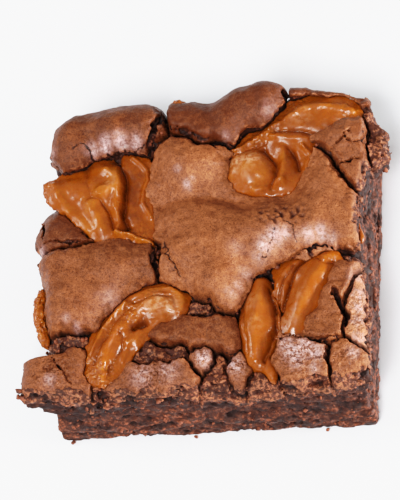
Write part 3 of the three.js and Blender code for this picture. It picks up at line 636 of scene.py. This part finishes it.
def top_layers(x, y):
    """The crust's height at plan points, and how far its cracks, beds of caramel and rim are."""
    x, y = x.astype(float), y.astype(float)
    flat = in_plan(x, y)
    wx, wy = wandered(x, y, WARP)

    crusts = list(PLATES.values())
    crusts += [
        (level, rise, width, PATCH_TONE, (0, 0), discs)
        for level, rise, width, discs in CRUMB_PATCHES.values()]
    distances = np.array([area_distance(discs, wx, wy) for *_, discs in crusts])
    nearest, second = np.partition(distances, 1, axis=0)[:2]
    to_crack = (second - nearest) / 2

    beds = list(CARAMEL_BEDS.values())
    bed_distances = np.array([area_distance(discs, wx, wy) for *_, discs in beds])
    bed = bed_distances.argmin(axis=0)
    to_bed = bed_distances.min(axis=0) - np.minimum(nearest, BED_SLACK)
    inside = np.maximum(np.minimum(to_crack / CRACK_SHARPNESS, to_bed / 2 + BED_LIP), 0)

    weights = np.exp((nearest - distances) / STEP_BLEND)
    weights /= weights.sum(axis=0)
    height = sum(
        weight * (level + rise * shoulder(inside, width) + tilted(x, y, tilt, discs))
        for weight, (level, rise, width, _, tilt, discs) in zip(weights, crusts))
    tone = sum(weight * tone for weight, (_, _, _, tone, _, _) in zip(weights, crusts))
    bare = weights[len(PLATES):].sum(axis=0)

    wide = CRACK_HALF_WIDTH * (1 + octaves(flat, CRACK_VARIATION, 30))
    height -= CRACK_DEPTH * np.exp(-(to_crack / wide) ** 2)
    height += octaves(flat, CURL, 31) * np.exp(-to_crack / CURL_REACH)
    height += octaves(flat, UNDULATION, 33) + bumps(x, y)
    for size, (cell_x, cell_y), spot in WRINKLES:
        height -= spots(x, y, [(*spot, 1)]) * ridged(flat, [((cell_x, cell_y, 1), size)], 38)
    fall, from_rim, past_break = rim_fall(x, y)
    height -= fall
    bare = np.maximum(bare, smoothstep(past_break, 0, BARE_EDGE))
    pitted = spots(x, y, PITTED) * smoothstep(noise(flat, PIT_CELL, 39), *PIT_RANGE)
    height -= PIT_DEPTH * pitted

    levels, rises, reaches = np.array([entry[:3] for entry in beds]).T
    floor = levels[bed] + rises[bed] * (1 - np.exp(-np.maximum(-to_bed, 0) / (2 * reaches[bed])))
    return {
        "height": height, "to_crack": to_crack, "to_bed": to_bed, "floor": floor, "from_rim": from_rim,
        "tone": tone, "bare": bare, "bed": bed, "past_break": past_break, "pitted": pitted,
    }


# The body's field

class Lattice:
    """Points a step apart that fill a box, all at whole multiples of the step."""

    def __init__(self, low, high, step):
        self.step = step
        self.first = np.floor((np.asarray(low) - MARGIN) / step).astype(int)
        last = np.ceil((np.asarray(high) + MARGIN) / step).astype(int)
        self.shape = tuple(last - self.first + 1)
        axes = [
            ((start + np.arange(count)) * step).astype(np.float32)
            for start, count in zip(self.first, self.shape)]
        self.x, self.y, self.z = np.meshgrid(*axes, indexing="ij", sparse=True)
        self.plan = np.broadcast_arrays(self.x[:, :, 0], self.y[:, :, 0])

    def points(self, mask):
        """The places of the points in a mask."""
        index = np.argwhere(mask)
        return ((index + self.first) * self.step).astype(np.float32)

    def around_mesh(self, points, quads_or_triangles, reach):
        """Distance field of a closed mesh, true up to the reach."""
        faces = {"triangles" if quads_or_triangles.shape[1] == 3 else "quads": quads_or_triangles}
        grid = openvdb.FloatGrid.createLevelSetFromPolygons(
            points.astype(np.float32), transform=openvdb.createLinearTransform(self.step),
            halfWidth=reach / self.step, **faces)
        field = np.zeros(self.shape, np.float32)
        grid.copyToArray(field, ijk=tuple(int(n) for n in self.first))
        return field


def side_field(lattice, height, depth):
    """Distance beyond the four sides, with the crust hanging over the crumb."""
    share = (lattice.z - SHARES_FROM) / (height[:, :, None] - SHARES_FROM)
    share = np.clip(share, 0, 1)
    lip = smoothstep(share, LIP_START, LIP_END)
    undercut = UNDERCUT * np.sin(math.pi * smoothstep(share, UNDERCUT_START, UNDERCUT_END)) * (1 - lip)
    recess = CRUMB_RECESS * smoothstep(depth, CRUST_THICKNESS, 1.8 * CRUST_THICKNESS)
    torn = columns(octaves(in_plan(*lattice.plan), JAG, 40))
    inwards = undercut + recess - FOOT_SPREAD * (1 - share) - torn * lip
    field = None
    for side, outline in CRUST_OUTLINE.items():
        outwards, along = beyond_side(side, lattice.x, lattice.y)
        beyond = outwards - lip * along_stops(outline, along).astype(np.float32)
        field = beyond if field is None else smooth_max(field, beyond, CORNER_ROUND)
    return field + inwards


def carve_cracks(lattice, field, depth):
    """Slots along the cracks, in place, narrower at their ends and at the bottom."""
    wx, wy = wandered(*lattice.plan, CRACK_WARP)
    for width, crack_depth, path in CRACKS:
        distance, share = path_distance(wx, wy, path)
        taper = CRACK_END + (1 - CRACK_END) * np.sqrt(np.clip(4 * share * (1 - share), 0, 1))
        half = width / 2 * taper
        near = distance < width + 2 * lattice.step
        deep = depth[near]
        narrowing = 1 - CRACK_NARROWING * np.clip(deep / crack_depth, 0, 1)
        beside = distance[near][:, None] - half[near][:, None] * narrowing
        slot = np.maximum(beside, deep - crack_depth)
        field[near] = np.maximum(field[near], -slot)


def carve_hollows(lattice, field):
    """Hollows in the sides, in place."""
    for x, y, z, radii in HOLLOWS:
        away = sum(
            ((axis - middle) / radius) ** 2
            for axis, middle, radius in zip((lattice.x, lattice.y, lattice.z), (x, y, z), radii))
        near = away < 2
        depth = (1 - np.sqrt(away[near])) * min(radii)
        field[near] = np.maximum(field[near], depth + octaves(lattice.points(near), HOLLOW_RELIEF, 68))


def crumb_relief(points):
    """Relief of torn crumb, flatter outwards than inwards."""
    relief = octaves(points, CRUMB_RELIEF, 50) - ridged(points, FLAKY_RELIEF, 65)
    return np.where(relief > 0, relief * (1 - CUT_FLAT), relief)


def body_field(lattice, caramel_meshes):
    """The whole body, with its beds, cracks and relief, and a pocket for every run of caramel."""
    top = top_layers(*lattice.plan)
    height = top["height"].astype(np.float32)
    slope_x, slope_y = np.gradient(height, lattice.step)
    flatness = 1 / np.sqrt(1 + slope_x ** 2 + slope_y ** 2)
    depth = height[:, :, None] - lattice.z

    field = smooth_max(-depth * flatness[:, :, None], side_field(lattice, height, depth), CRUST_ROUND)

    wall = BED_UNDERCUT * smoothstep(depth, 0.7 * CRUST_THICKNESS, 1.8 * CRUST_THICKNESS)
    hollow = np.maximum(columns(top["to_bed"]) - wall, columns(top["floor"]) - lattice.z)
    field = smooth_max(field, -hollow, BED_ROUND)
    carve_cracks(lattice, field, depth)
    carve_hollows(lattice, field)

    below_crust = smoothstep(depth, 0.6 * CRUST_THICKNESS, 1.4 * CRUST_THICKNESS)
    crumb = np.maximum(below_crust, columns(top["bare"]))
    near = (np.abs(field) < RELIEF_REACH) & (crumb > LEAST_CRUMB)
    field[near] -= crumb[near] * crumb_relief(lattice.points(near))

    for points, quads in caramel_meshes:
        pocket = lattice.around_mesh(points, quads, POCKET_REACH)
        field = np.maximum(field, CARAMEL_GAP - pocket)
    return smooth_max(field, -lattice.z, FOOT_ROUND)


# The caramel's fields

def blurred(field, sigma):
    """Gaussian blur of a field, sigma in lattice steps."""
    reach = int(math.ceil(2.5 * sigma))
    kernel = np.exp(-0.5 * (np.arange(-reach, reach + 1) / sigma) ** 2)
    kernel /= kernel.sum()
    for axis in range(3):
        padded = np.pad(field, [(reach, reach) if n == axis else (0, 0) for n in range(3)], mode="edge")
        count = field.shape[axis]
        field = sum(
            weight * np.take(padded, range(start, start + count), axis=axis)
            for start, weight in enumerate(kernel))
    return field.astype(np.float32)


def mesh_arrays(mesh):
    """A Blender mesh's vertices in millimetres and its triangles."""
    mesh.calc_loop_triangles()
    points = np.empty(len(mesh.vertices) * 3, np.float32)
    mesh.vertices.foreach_get("co", points)
    triangles = np.empty(len(mesh.loop_triangles) * 3, np.int32)
    mesh.loop_triangles.foreach_get("vertices", triangles)
    return points.reshape(-1, 3) / MM, triangles.reshape(-1, 3).astype(np.uint32)


def bed_box(bed):
    """Lowest and highest plan corner of a bed's discs."""
    discs = np.array(CARAMEL_BEDS[bed][3])
    middles, radii = discs[:, :2], discs[:, 2:]
    return (middles - radii).min(axis=0), (middles + radii).max(axis=0)


def sheet_field(lattice, bed):
    """The sheet of caramel that fills a bed."""
    top = top_layers(*lattice.plan)
    own = top["bed"] == list(CARAMEL_BEDS).index(bed)
    across = np.where(own, np.maximum(top["to_bed"], -top["from_rim"]) - SHEET_SPREAD, MARGIN)
    upright = np.maximum(lattice.z - SHEETS[bed], columns(top["floor"]) - lattice.z)
    return smooth_max(columns(across), upright, SHEET_EDGE)


def fold_profile(distance, half_width, height):
    """A soft swell or hollow, or a sharp crease for a narrow hollow."""
    if height > 0 or half_width > CREASE_WIDTH:
        return height * np.exp(-(distance / half_width) ** 2)
    return height * np.exp(-distance / half_width)


def raised_folds(name, x, y):
    """Height of a run's folds at plan points."""
    wx, wy = wandered(x, y, FOLD_WANDER)
    raised = np.zeros(x.shape)
    for height, half_width, path in FOLDS.get(name, []):
        distance, _ = path_distance(wx, wy, smooth_path(path))
        raised += fold_profile(distance, half_width, height)
    return raised


def pull_relief(name, places):
    """Long soft ridges with sharp creases between them, along the way a run was pulled out."""
    strength, path = PULLS[name]
    path = smooth_path(path)
    distance, share = path_distance(places[:, 0], places[:, 1], path)
    nearest = (share * (len(path) - 1)).astype(int).clip(0, len(path) - 2)
    ahead = path[nearest + 1] - path[nearest]
    aside = places[:, :2] - path[nearest]
    side = np.sign(ahead[:, 0] * aside[:, 1] - ahead[:, 1] * aside[:, 0])
    length = np.hypot(*np.diff(path, axis=0).T).sum()
    along = np.stack([distance * side, share * length, places[:, 2]], axis=-1)
    return strength * ridged(along, PULL_RELIEF, 85)


def caramel_paint(name, points):
    """What the caramel's material reads at each vertex."""
    x, y, _ = points.astype(float).T
    return {
        "fold": raised_folds(name, x, y),
        "bubbly": spots(x, y, BUBBLY),
        "dull_and_painted_highlight": spots(x, y, DULL_SPOTS_WITH_PAINTED_HIGHLIGHT),
    }


def caramel_arrays(name, seed):
    """Mesh of one run of caramel: its solid with the facets melted away, then folded."""
    points, triangles = mesh_arrays(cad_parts[name].data)
    low, high = points.min(0), points.max(0)
    bed = name.removeprefix("caramel_")
    if bed in CARAMEL_BEDS:
        bed_low, bed_high = bed_box(bed)
        low[:2] = np.minimum(low[:2], bed_low)
        high[:2] = np.maximum(high[:2], bed_high)
    lattice = Lattice(low, high, CARAMEL_STEP)
    field = lattice.around_mesh(points, triangles, CARAMEL_REACH)
    field = blurred(field, CARAMEL_SOFTENING / lattice.step)
    if bed in SHEETS:
        field = -smooth_max(-field, -sheet_field(lattice, bed), SHEET_BLEND)
    field = field - TONGUE_SPREAD.get(bed, 0.0)
    raised = columns(raised_folds(name, *lattice.plan))
    field = field - raised * smoothstep(lattice.z, FOLD_FLOOR, FOLD_FULL)
    near = np.abs(field) < CARAMEL_RELIEF_REACH
    places = lattice.points(near)
    bubbly = spots(places[:, 0], places[:, 1], BUBBLY)
    field[near] -= octaves(places, CARAMEL_RELIEF, 70 + seed)
    if name in PULLS:
        field[near] -= pull_relief(name, places)
    field[near] += bubbly * ridged(places, BUBBLE_RELIEF, 80)
    points, quads = surface_arrays(lattice, field)
    return points, quads, caramel_paint(name, points)


# Meshes

def surface_arrays(lattice, field):
    """Vertices in millimetres and quads of the surface where a field is zero."""
    grid = openvdb.FloatGrid(OUTSIDE)
    corner = tuple(int(n) for n in lattice.first)
    grid.copyFromArray(np.ascontiguousarray(field, np.float32), ijk=corner)
    points, _, quads = grid.convertToPolygons(0.0, 0.0)
    points, quads = largest_piece(points, quads)
    return points * lattice.step, outward(points, quads)


def outward(points, quads):
    """Quads turned so that they face out of the solid."""
    a, b, c, d = (points[quads[:, n]] for n in range(4))
    volume = np.einsum("ij,ij->", a, np.cross(b, c) + np.cross(c, d))
    return quads if volume > 0 else quads[:, ::-1]


def largest_piece(points, quads):
    """The connected piece with the most vertices."""
    label = np.arange(len(points))
    while True:
        low = label[quads].min(axis=1)
        spread = label.copy()
        for corner in range(4):
            np.minimum.at(spread, quads[:, corner], low)
        spread = spread[spread]
        if (spread == label).all():
            break
        label = spread
    kept = label == np.bincount(label).argmax()
    index = np.cumsum(kept) - 1
    return points[kept], index[quads[kept[quads[:, 0]]]]


def make_piece(name, points, quads, attributes, material):
    """An object with a smooth mesh, from arrays in millimetres."""
    mesh = bpy.data.meshes.new(name)
    mesh.from_pydata(points * MM, [], quads)
    mesh.shade_smooth()
    for key, values in attributes.items():
        attribute = mesh.attributes.new(key, "FLOAT", "POINT")
        attribute.data.foreach_set("value", values.astype(np.float32))
    mesh.materials.append(material)
    piece = bpy.data.objects.new(name, mesh)
    bpy.context.scene.collection.objects.link(piece)
    return piece


# Crumbs that cling to the torn sides

def crumb_arrays(body_points, body_quads, crumb_share):
    """Small lumps set into the body's torn faces, all in one mesh."""
    random = np.random.default_rng(SEED)
    centres = body_points[body_quads].mean(axis=1)
    edges = body_points[body_quads[:, 2]] - body_points[body_quads[:, 0]]
    normals = np.cross(edges, body_points[body_quads[:, 3]] - body_points[body_quads[:, 1]])
    area = np.linalg.norm(normals, axis=1)
    normals /= area[:, None] + 1e-12
    weight = area * crumb_share[body_quads].mean(axis=1) * (centres[:, 2] > CRUMB_LOWEST)
    chosen = random.choice(len(centres), CRUMB_COUNT, replace=False, p=weight / weight.sum())

    radii = CRUMB_RADIUS * random.lognormal(0, CRUMB_SPREAD, CRUMB_COUNT)
    places = centres[chosen] + normals[chosen] * radii[:, None] * CRUMB_LIFT
    clumps = np.array(CLUMPS)
    places = np.vstack([places, clumps[:, :3]])
    radii = np.concatenate([radii, clumps[:, 3]])

    ball_points, ball_faces = round_cube()
    points, faces = [], []
    for n, (place, radius) in enumerate(zip(places, radii)):
        stretch = random.uniform(*CRUMB_STRETCH, 3) * radius
        turn = np.array(Matrix.Rotation(random.uniform(0, 2 * math.pi), 3, Vector(random.normal(size=3))))
        lumps = octaves(ball_points + CRUMB_NOISE_STEP * n, CRUMB_LUMPS, 95)
        lumpy = ball_points * (1 + lumps)[:, None]
        points.append((lumpy * stretch) @ turn.T + place)
        faces.append(ball_faces + n * len(ball_points))
    return np.vstack(points), np.vstack(faces)


def round_cube():
    """Vertices and quads of a round cube of unit radius."""
    mesh = bmesh.new()
    bmesh.ops.create_cube(mesh, size=1)
    bmesh.ops.subdivide_edges(mesh, edges=mesh.edges, cuts=2, use_grid_fill=True)
    points = np.array([vertex.co.normalized() for vertex in mesh.verts])
    quads = np.array([[vertex.index for vertex in face.verts] for face in mesh.faces])
    mesh.free()
    return points, quads


# Paint

def layer_edges(past_break):
    """How near the upper edge of one of the torn layers is, 1 at the edge."""
    return sum(
        smoothstep(past_break, start, start + BARE_EDGE)
        * np.exp(-np.maximum(past_break - start, 0) / TORN_REACH)
        for start, _ in BROKEN_STEPS)


def body_paint(points):
    """What the body's material reads at each vertex."""
    x, y, z = points.astype(float).T
    top = top_layers(x, y)
    depth = top["height"] - z
    wander = octaves(points, PAINT_WANDER, 90)
    crust = 1 - smoothstep(depth + wander, 0.7 * CRUST_THICKNESS, 1.1 * CRUST_THICKNESS)
    crust *= smoothstep(top["to_bed"], *BED_BORDER) * (1 - top["bare"])
    wx, wy = wandered(x, y, CRACK_WARP)
    crack = np.minimum(top["to_crack"], FARTHEST_CRACK)
    for path in HAIRLINES:
        crack = np.minimum(crack, HAIRLINE_THINNESS * path_distance(wx, wy, path)[0])
    torn = np.maximum(PATCH_TORN, layer_edges(top["past_break"]))
    return {
        "crust": crust,
        "depth": np.clip(depth, 0, DEEPEST_PAINT),
        "tone": top["tone"],
        "relief": crumb_relief(points),
        "torn": top["bare"] * (1 - smoothstep(depth, *TORN_FADE)) * torn,
        "crack": crack,
        "rim": np.exp(-np.minimum(top["from_rim"], np.maximum(top["to_bed"], 0))),
        "sheen": spots(x, y, SHEEN),
        "crinkled": spots(x, y, CRINKLED),
        "pitted": top["pitted"],
    }


# Materials

MIX_A_COLOUR, MIX_B_COLOUR, MIX_COLOUR = 6, 7, 2  # places of a mix node's colours


class Value:
    """A value in a material's node tree, for sums, differences and products."""

    def __init__(self, nodes, socket):
        self.nodes = nodes
        self.socket = socket

    def combined(self, operation, other):
        node = self.nodes.new("Math")
        node.operation = operation
        self.nodes.link(self, node.inputs[0])
        self.nodes.link(other, node.inputs[1])
        return Value(self.nodes, node.outputs[0])

    def __add__(self, other):
        return self.combined("ADD", other)

    def __sub__(self, other):
        return self.combined("SUBTRACT", other)

    def __mul__(self, other):
        return self.combined("MULTIPLY", other)

    def ramp(self, low, high, to_low=0.0, to_high=1.0):
        """The value's way from low to high, eased, as a way from to_low to to_high."""
        node = self.nodes.new("MapRange")
        node.interpolation_type = "SMOOTHSTEP"
        self.nodes.link(self, node.inputs["Value"])
        for socket, number in zip(node.inputs[1:5], (low, high, to_low, to_high)):
            socket.default_value = number
        return Value(self.nodes, node.outputs["Result"])


class Nodes:
    """A material's node tree, with short calls for the nodes used here."""

    def __init__(self, name):
        self.material = bpy.data.materials.new(name)
        self.material.use_nodes = True
        self.tree = self.material.node_tree
        self.shader = self.tree.nodes["Principled BSDF"]
        self.coordinates = Value(self, self.new("TexCoord").outputs["Object"])

    def new(self, kind):
        return self.tree.nodes.new("ShaderNode" + kind)

    def link(self, source, target):
        """Joins a value to a socket. A number or a colour is set on the socket itself."""
        if isinstance(source, Value):
            self.tree.links.new(source.socket, target)
        else:
            target.default_value = source if isinstance(source, (int, float)) else linear(source)

    def surface(self, name, value):
        self.link(value, self.shader.inputs[name])

    def attribute(self, name):
        node = self.new("Attribute")
        node.attribute_name = name
        return Value(self, node.outputs["Fac"])

    def noise(self, cell, detail=2.0, roughness=0.5, stretch=(1, 1, 1)):
        """Noise that changes over the cell's length in millimetres."""
        mapping = self.new("Mapping")
        mapping.inputs["Scale"].default_value = [1 / part for part in stretch]
        self.link(self.coordinates, mapping.inputs["Vector"])
        node = self.new("TexNoise")
        node.inputs["Scale"].default_value = 1 / (cell * MM)
        node.inputs["Detail"].default_value = detail
        node.inputs["Roughness"].default_value = roughness
        self.tree.links.new(mapping.outputs["Vector"], node.inputs["Vector"])
        return Value(self, node.outputs["Fac"])

    def mix(self, share, a, b):
        """The colour a share of the way from a to b."""
        node = self.new("Mix")
        node.data_type = "RGBA"
        self.link(share, node.inputs["Factor"])
        self.link(a, node.inputs[MIX_A_COLOUR])
        self.link(b, node.inputs[MIX_B_COLOUR])
        return Value(self, node.outputs[MIX_COLOUR])

    def bump(self, height, distance, strength, normal=None):
        node = self.new("Bump")
        node.inputs["Distance"].default_value = distance * MM
        node.inputs["Strength"].default_value = strength
        self.link(height, node.inputs["Height"])
        if normal is not None:
            self.link(normal, node.inputs["Normal"])
        return Value(self, node.outputs["Normal"])


def crust_material():
    nodes = Nodes("brownie_crust")
    crack = nodes.attribute("crack")
    sheen = nodes.attribute("sheen")
    crinkled = nodes.attribute("crinkled")

    # The tone holds painted shade and light as well as how light the crust is baked: darker on plates
    # that face away from the key light, lighter on the right rim.
    toned = nodes.attribute("tone")
    for cell, detail, roughness, darkest, lightest in CRUST_MOTTLING:
        toned = toned * nodes.noise(cell, detail, roughness).ramp(0.3, 0.7, darkest, lightest)
    shade = nodes.mix(toned.ramp(0.4, 1.15), CRUST_DARK, CRUST_COLOUR)
    shade = nodes.mix(toned.ramp(1.05, 1.8), shade, CRUST_LIGHT)
    specks = nodes.noise(0.4, 1).ramp(0.6, 0.68)
    shade = nodes.mix(specks * 0.85, shade, CRUST_DARK)

    # Painted highlight: the pale sheen colour on the glossy spots, broken into glints where the crust is
    # crinkled.
    gaps = nodes.noise(0.8, 4, 0.75).ramp(0.4, 0.6, 0.95, 0) * crinkled.ramp(0, 1, 0.7, 1)
    patchy_painted_sheen = (sheen - sheen * gaps) * crinkled.ramp(0, 1, *SHEEN_SHARES)
    shade = nodes.mix(patchy_painted_sheen, shade, PAINTED_SHEEN_COLOUR)
    shade = nodes.mix(nodes.attribute("pitted"), shade, CRUMB_COLOUR)
    flecks = nodes.attribute("rim").ramp(0.4, 0.9) * nodes.noise(0.9, 3).ramp(0.46, 0.62)
    shade = nodes.mix(flecks * 0.6, shade, TORN_COLOUR)
    # Painted shade: near-black along the cracks and hairlines, partly the dark crumb inside and partly
    # the shade in the gap.
    shade = nodes.mix(crack.ramp(0.1, 0.4, 1, 0) * 0.9, shade, CRUMB_DARK_AND_PAINTED_SHADE)
    nodes.surface("Base Color", shade)

    nodes.surface("Roughness", nodes.noise(1.5, 3).ramp(0.3, 0.7, 0.36, 0.5) - sheen * 0.28)
    nodes.surface("Specular IOR Level", 0.28)
    grain = nodes.noise(*CRUST_MOTTLING[-1][:3]) * sheen.ramp(0, 1.2, 1, 0.3)
    normal = nodes.bump(grain, 0.18, 0.9)
    normal = nodes.bump(nodes.noise(0.9, 4, 0.6), 0.18, 0.6, normal)
    normal = nodes.bump(crinkled * nodes.noise(1.3), 2.6, 1.0, normal)
    nodes.surface("Normal", nodes.bump(crack.ramp(0, 0.5), 0.35, 0.7, normal))
    return nodes.material


def torn_material():
    nodes = Nodes("brownie_crumb")
    relief = nodes.attribute("relief")
    depth = nodes.attribute("depth")
    # The warm, lighter colour goes mostly on raised crumb and less in hollows: partly painted light and
    # shade.
    warm = nodes.noise(0.7, 4, 0.7).ramp(0.46, 0.64) * relief.ramp(-0.5, 0.1, 0.2, 1)
    crumb = nodes.mix(warm, CRUMB_COLOUR, CRUMB_WARM)
    dark = nodes.noise(2.6, 4, 0.6, CRUMB_LAYERS).ramp(0.4, 0.6)
    crumb = nodes.mix(dark * 0.85, crumb, CRUMB_DARK_AND_PAINTED_SHADE)
    flakes = (nodes.noise(0.7, 4, 0.7) + relief * 0.1).ramp(0.48, 0.6)
    broken = nodes.mix(flakes, TORN_SHADE, TORN_COLOUR)
    shade = nodes.mix(nodes.attribute("torn"), crumb, broken)

    # Painted shadow under the crust's overhang, partly moist crumb too: a dark band a little below the
    # crust's top.
    band = depth.ramp(1.6, 3.0) * depth.ramp(4.5, 9.0, 1, 0)
    moist_and_overhang_shadow = band * nodes.noise(2.4, 3, 0.6, CRUMB_LAYERS).ramp(0.35, 0.6, 0.25, 0.8)
    shade = nodes.mix(moist_and_overhang_shadow, shade, CRUMB_MOIST_AND_SHADOWED)
    # Painted shade in the crumb's hollows, partly the dark moist crumb there: near-black where the relief
    # is deepest.
    nodes.surface("Base Color", nodes.mix(relief.ramp(-1.2, -0.3, 0.85, 0), shade, CRUMB_DARK_AND_PAINTED_SHADE))

    nodes.surface("Roughness", nodes.noise(1.2, 3).ramp(0.35, 0.65, 0.45, 0.75))
    nodes.surface("Specular IOR Level", 0.3)
    normal = nodes.bump(nodes.noise(0.3, 3, 0.7), 0.1, 0.9)
    nodes.surface("Normal", nodes.bump(nodes.noise(0.9, 4, 0.7), 0.25, 0.8, normal))
    return nodes.material


def loose_crumb_material():
    nodes = Nodes("loose_crumb")
    warm = nodes.noise(1.3).ramp(0.35, 0.65)
    nodes.surface("Base Color", nodes.mix(warm, CRUMB_COLOUR, CRUMB_WARM))
    nodes.surface("Roughness", 0.6)
    nodes.surface("Specular IOR Level", 0.35)
    nodes.surface("Normal", nodes.bump(nodes.noise(0.25), 0.06, 0.6))
    return nodes.material


def caramel_material():
    nodes = Nodes("caramel_glossy")
    # Painted light and shade by fold height: lighter on raised folds, darker in creases, partly also the
    # deeper colour of thick caramel there.
    lift = nodes.attribute("fold") + nodes.noise(2.6, 3).ramp(0.3, 0.7, -0.35, 0.35)
    colour = nodes.mix(lift.ramp(-1.4, 0.3), CARAMEL_DEEP_AND_SHADED, CARAMEL_COLOUR)
    colour = nodes.mix(lift.ramp(0.2, 1.3) * 0.45, colour, CARAMEL_LIGHT)
    bubbles = nodes.attribute("bubbly") * nodes.noise(0.6, 3).ramp(0.5, 0.68)
    colour = nodes.mix(bubbles * 0.5, colour, CARAMEL_LIGHT)
    # Painted highlight: a broad pale patch on the dull spots, which are also rougher.
    dull_and_painted_highlight = nodes.attribute("dull_and_painted_highlight") * nodes.noise(1.0, 4, 0.6).ramp(0.4, 0.62, 0.1, 1)
    nodes.surface("Base Color", nodes.mix(dull_and_painted_highlight * 0.5, colour, CARAMEL_PAINTED_HIGHLIGHT))

    nodes.surface("Subsurface Weight", 0.2)
    nodes.shader.inputs["Subsurface Radius"].default_value = CARAMEL_SCATTER
    nodes.surface("Subsurface Scale", 1.4 * MM)
    nodes.surface("Roughness", nodes.noise(1.6, 3).ramp(0.35, 0.65, 0.2, 0.38) + dull_and_painted_highlight * 0.2)
    nodes.surface("Specular IOR Level", 0.42)
    normal = nodes.bump(nodes.noise(0.5, 3), 0.04, 0.4)
    nodes.surface("Normal", nodes.bump(nodes.noise(1.4, 3), 0.06, 0.4, normal))
    return nodes.material


def floor_material():
    nodes = Nodes("studio_floor")
    nodes.surface("Base Color", FLOOR_COLOUR)
    nodes.surface("Roughness", 0.6)
    nodes.surface("Specular IOR Level", 0.2)
    return nodes.material


# Stage

def add_camera():
    """The camera at the photograph's place, turned about its own axis by the roll."""
    azimuth, tip, roll = (
        math.radians(angle) for angle in (CAMERA_AZIMUTH, 90 - CAMERA_ELEVATION, CAMERA_ROLL))
    turn = Matrix.Rotation(azimuth, 4, "Z") @ Matrix.Rotation(tip, 4, "X")
    turn @= Matrix.Rotation(-roll, 4, "Z")
    camera = bpy.data.objects.new("camera", bpy.data.cameras.new("camera"))
    camera.data.sensor_width = SENSOR
    camera.data.lens = FOCAL_PIXELS * SENSOR / max(IMAGE_WIDTH, IMAGE_HEIGHT)
    back = turn @ Vector((0, 0, CAMERA_DISTANCE))
    camera.matrix_world = Matrix.Translation(CAMERA_AIM + back) @ turn
    bpy.context.scene.collection.objects.link(camera)
    bpy.context.scene.camera = camera


def add_light(name, place, size, power):
    """A rectangular light that faces the slice."""
    light = bpy.data.lights.new(name, "AREA")
    light.shape = "RECTANGLE"
    light.size, light.size_y = size
    light.energy = power
    lamp = bpy.data.objects.new(name, light)
    lamp.location = place
    lamp.rotation_euler = (-Vector(place)).to_track_quat("-Z", "Y").to_euler()
    bpy.context.scene.collection.objects.link(lamp)


def add_floor(material):
    corners = np.array([(-1, -1, 0), (1, -1, 0), (1, 1, 0), (-1, 1, 0)]) * FLOOR_SIZE / 2
    floor = make_piece("floor", corners, np.array([(0, 1, 2, 3)]), {}, material)


def set_tone():
    """A photograph's tones: deep shadows, and whites that come up softly."""
    view = bpy.context.scene.view_settings
    view.view_transform = "Standard"
    view.use_curve_mapping = True
    mapping = view.curve_mapping
    mapping.white_level = (TONE_WHITE,) * 3
    curve = mapping.curves[3]
    curve.points[-1].location = (1.0, TONE_CURVE[-1][1])
    for light, shown in TONE_CURVE[:-1]:
        curve.points.new(light / TONE_WHITE, shown)
    mapping.update()


def light_scene():
    world = bpy.data.worlds.new("studio")
    world.use_nodes = True
    background = world.node_tree.nodes["Background"]
    background.inputs["Color"].default_value = linear(WORLD_COLOUR)
    background.inputs["Strength"].default_value = WORLD_STRENGTH
    bpy.context.scene.world = world
    for name, (place, size, power) in LIGHTS.items():
        add_light(name, place, size, power)


# The whole slice

def dress(piece, node):
    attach(piece, "root")
    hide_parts(node)


def build_slice():
    caramel = caramel_material()
    caramel_meshes = []
    names = sorted(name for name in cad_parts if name.startswith("caramel"))
    for seed, name in enumerate(names):
        points, quads, paint = caramel_arrays(name, seed)
        caramel_meshes.append((points, quads.astype(np.uint32)))
        dress(make_piece("soft_" + name, points, quads, paint, caramel), name)

    lattice = Lattice(LOW_CORNER, HIGH_CORNER, BODY_STEP)
    points, quads = surface_arrays(lattice, body_field(lattice, caramel_meshes))
    paint = body_paint(points)
    body = make_piece("brownie_body", points, quads, paint, crust_material())
    body.data.materials.append(torn_material())
    torn_faces = paint["crust"][quads].mean(axis=1) < 0.5
    body.data.polygons.foreach_set("material_index", torn_faces.astype(np.int32))
    dress(body, "brownie")
    crumb_points, crumb_quads = crumb_arrays(points, quads, 1 - paint["crust"])
    crumbs = make_piece("clinging_crumbs", crumb_points, crumb_quads, {}, loose_crumb_material())
    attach(crumbs, "root")


add_camera()
light_scene()
set_tone()
add_floor(floor_material())
build_slice()
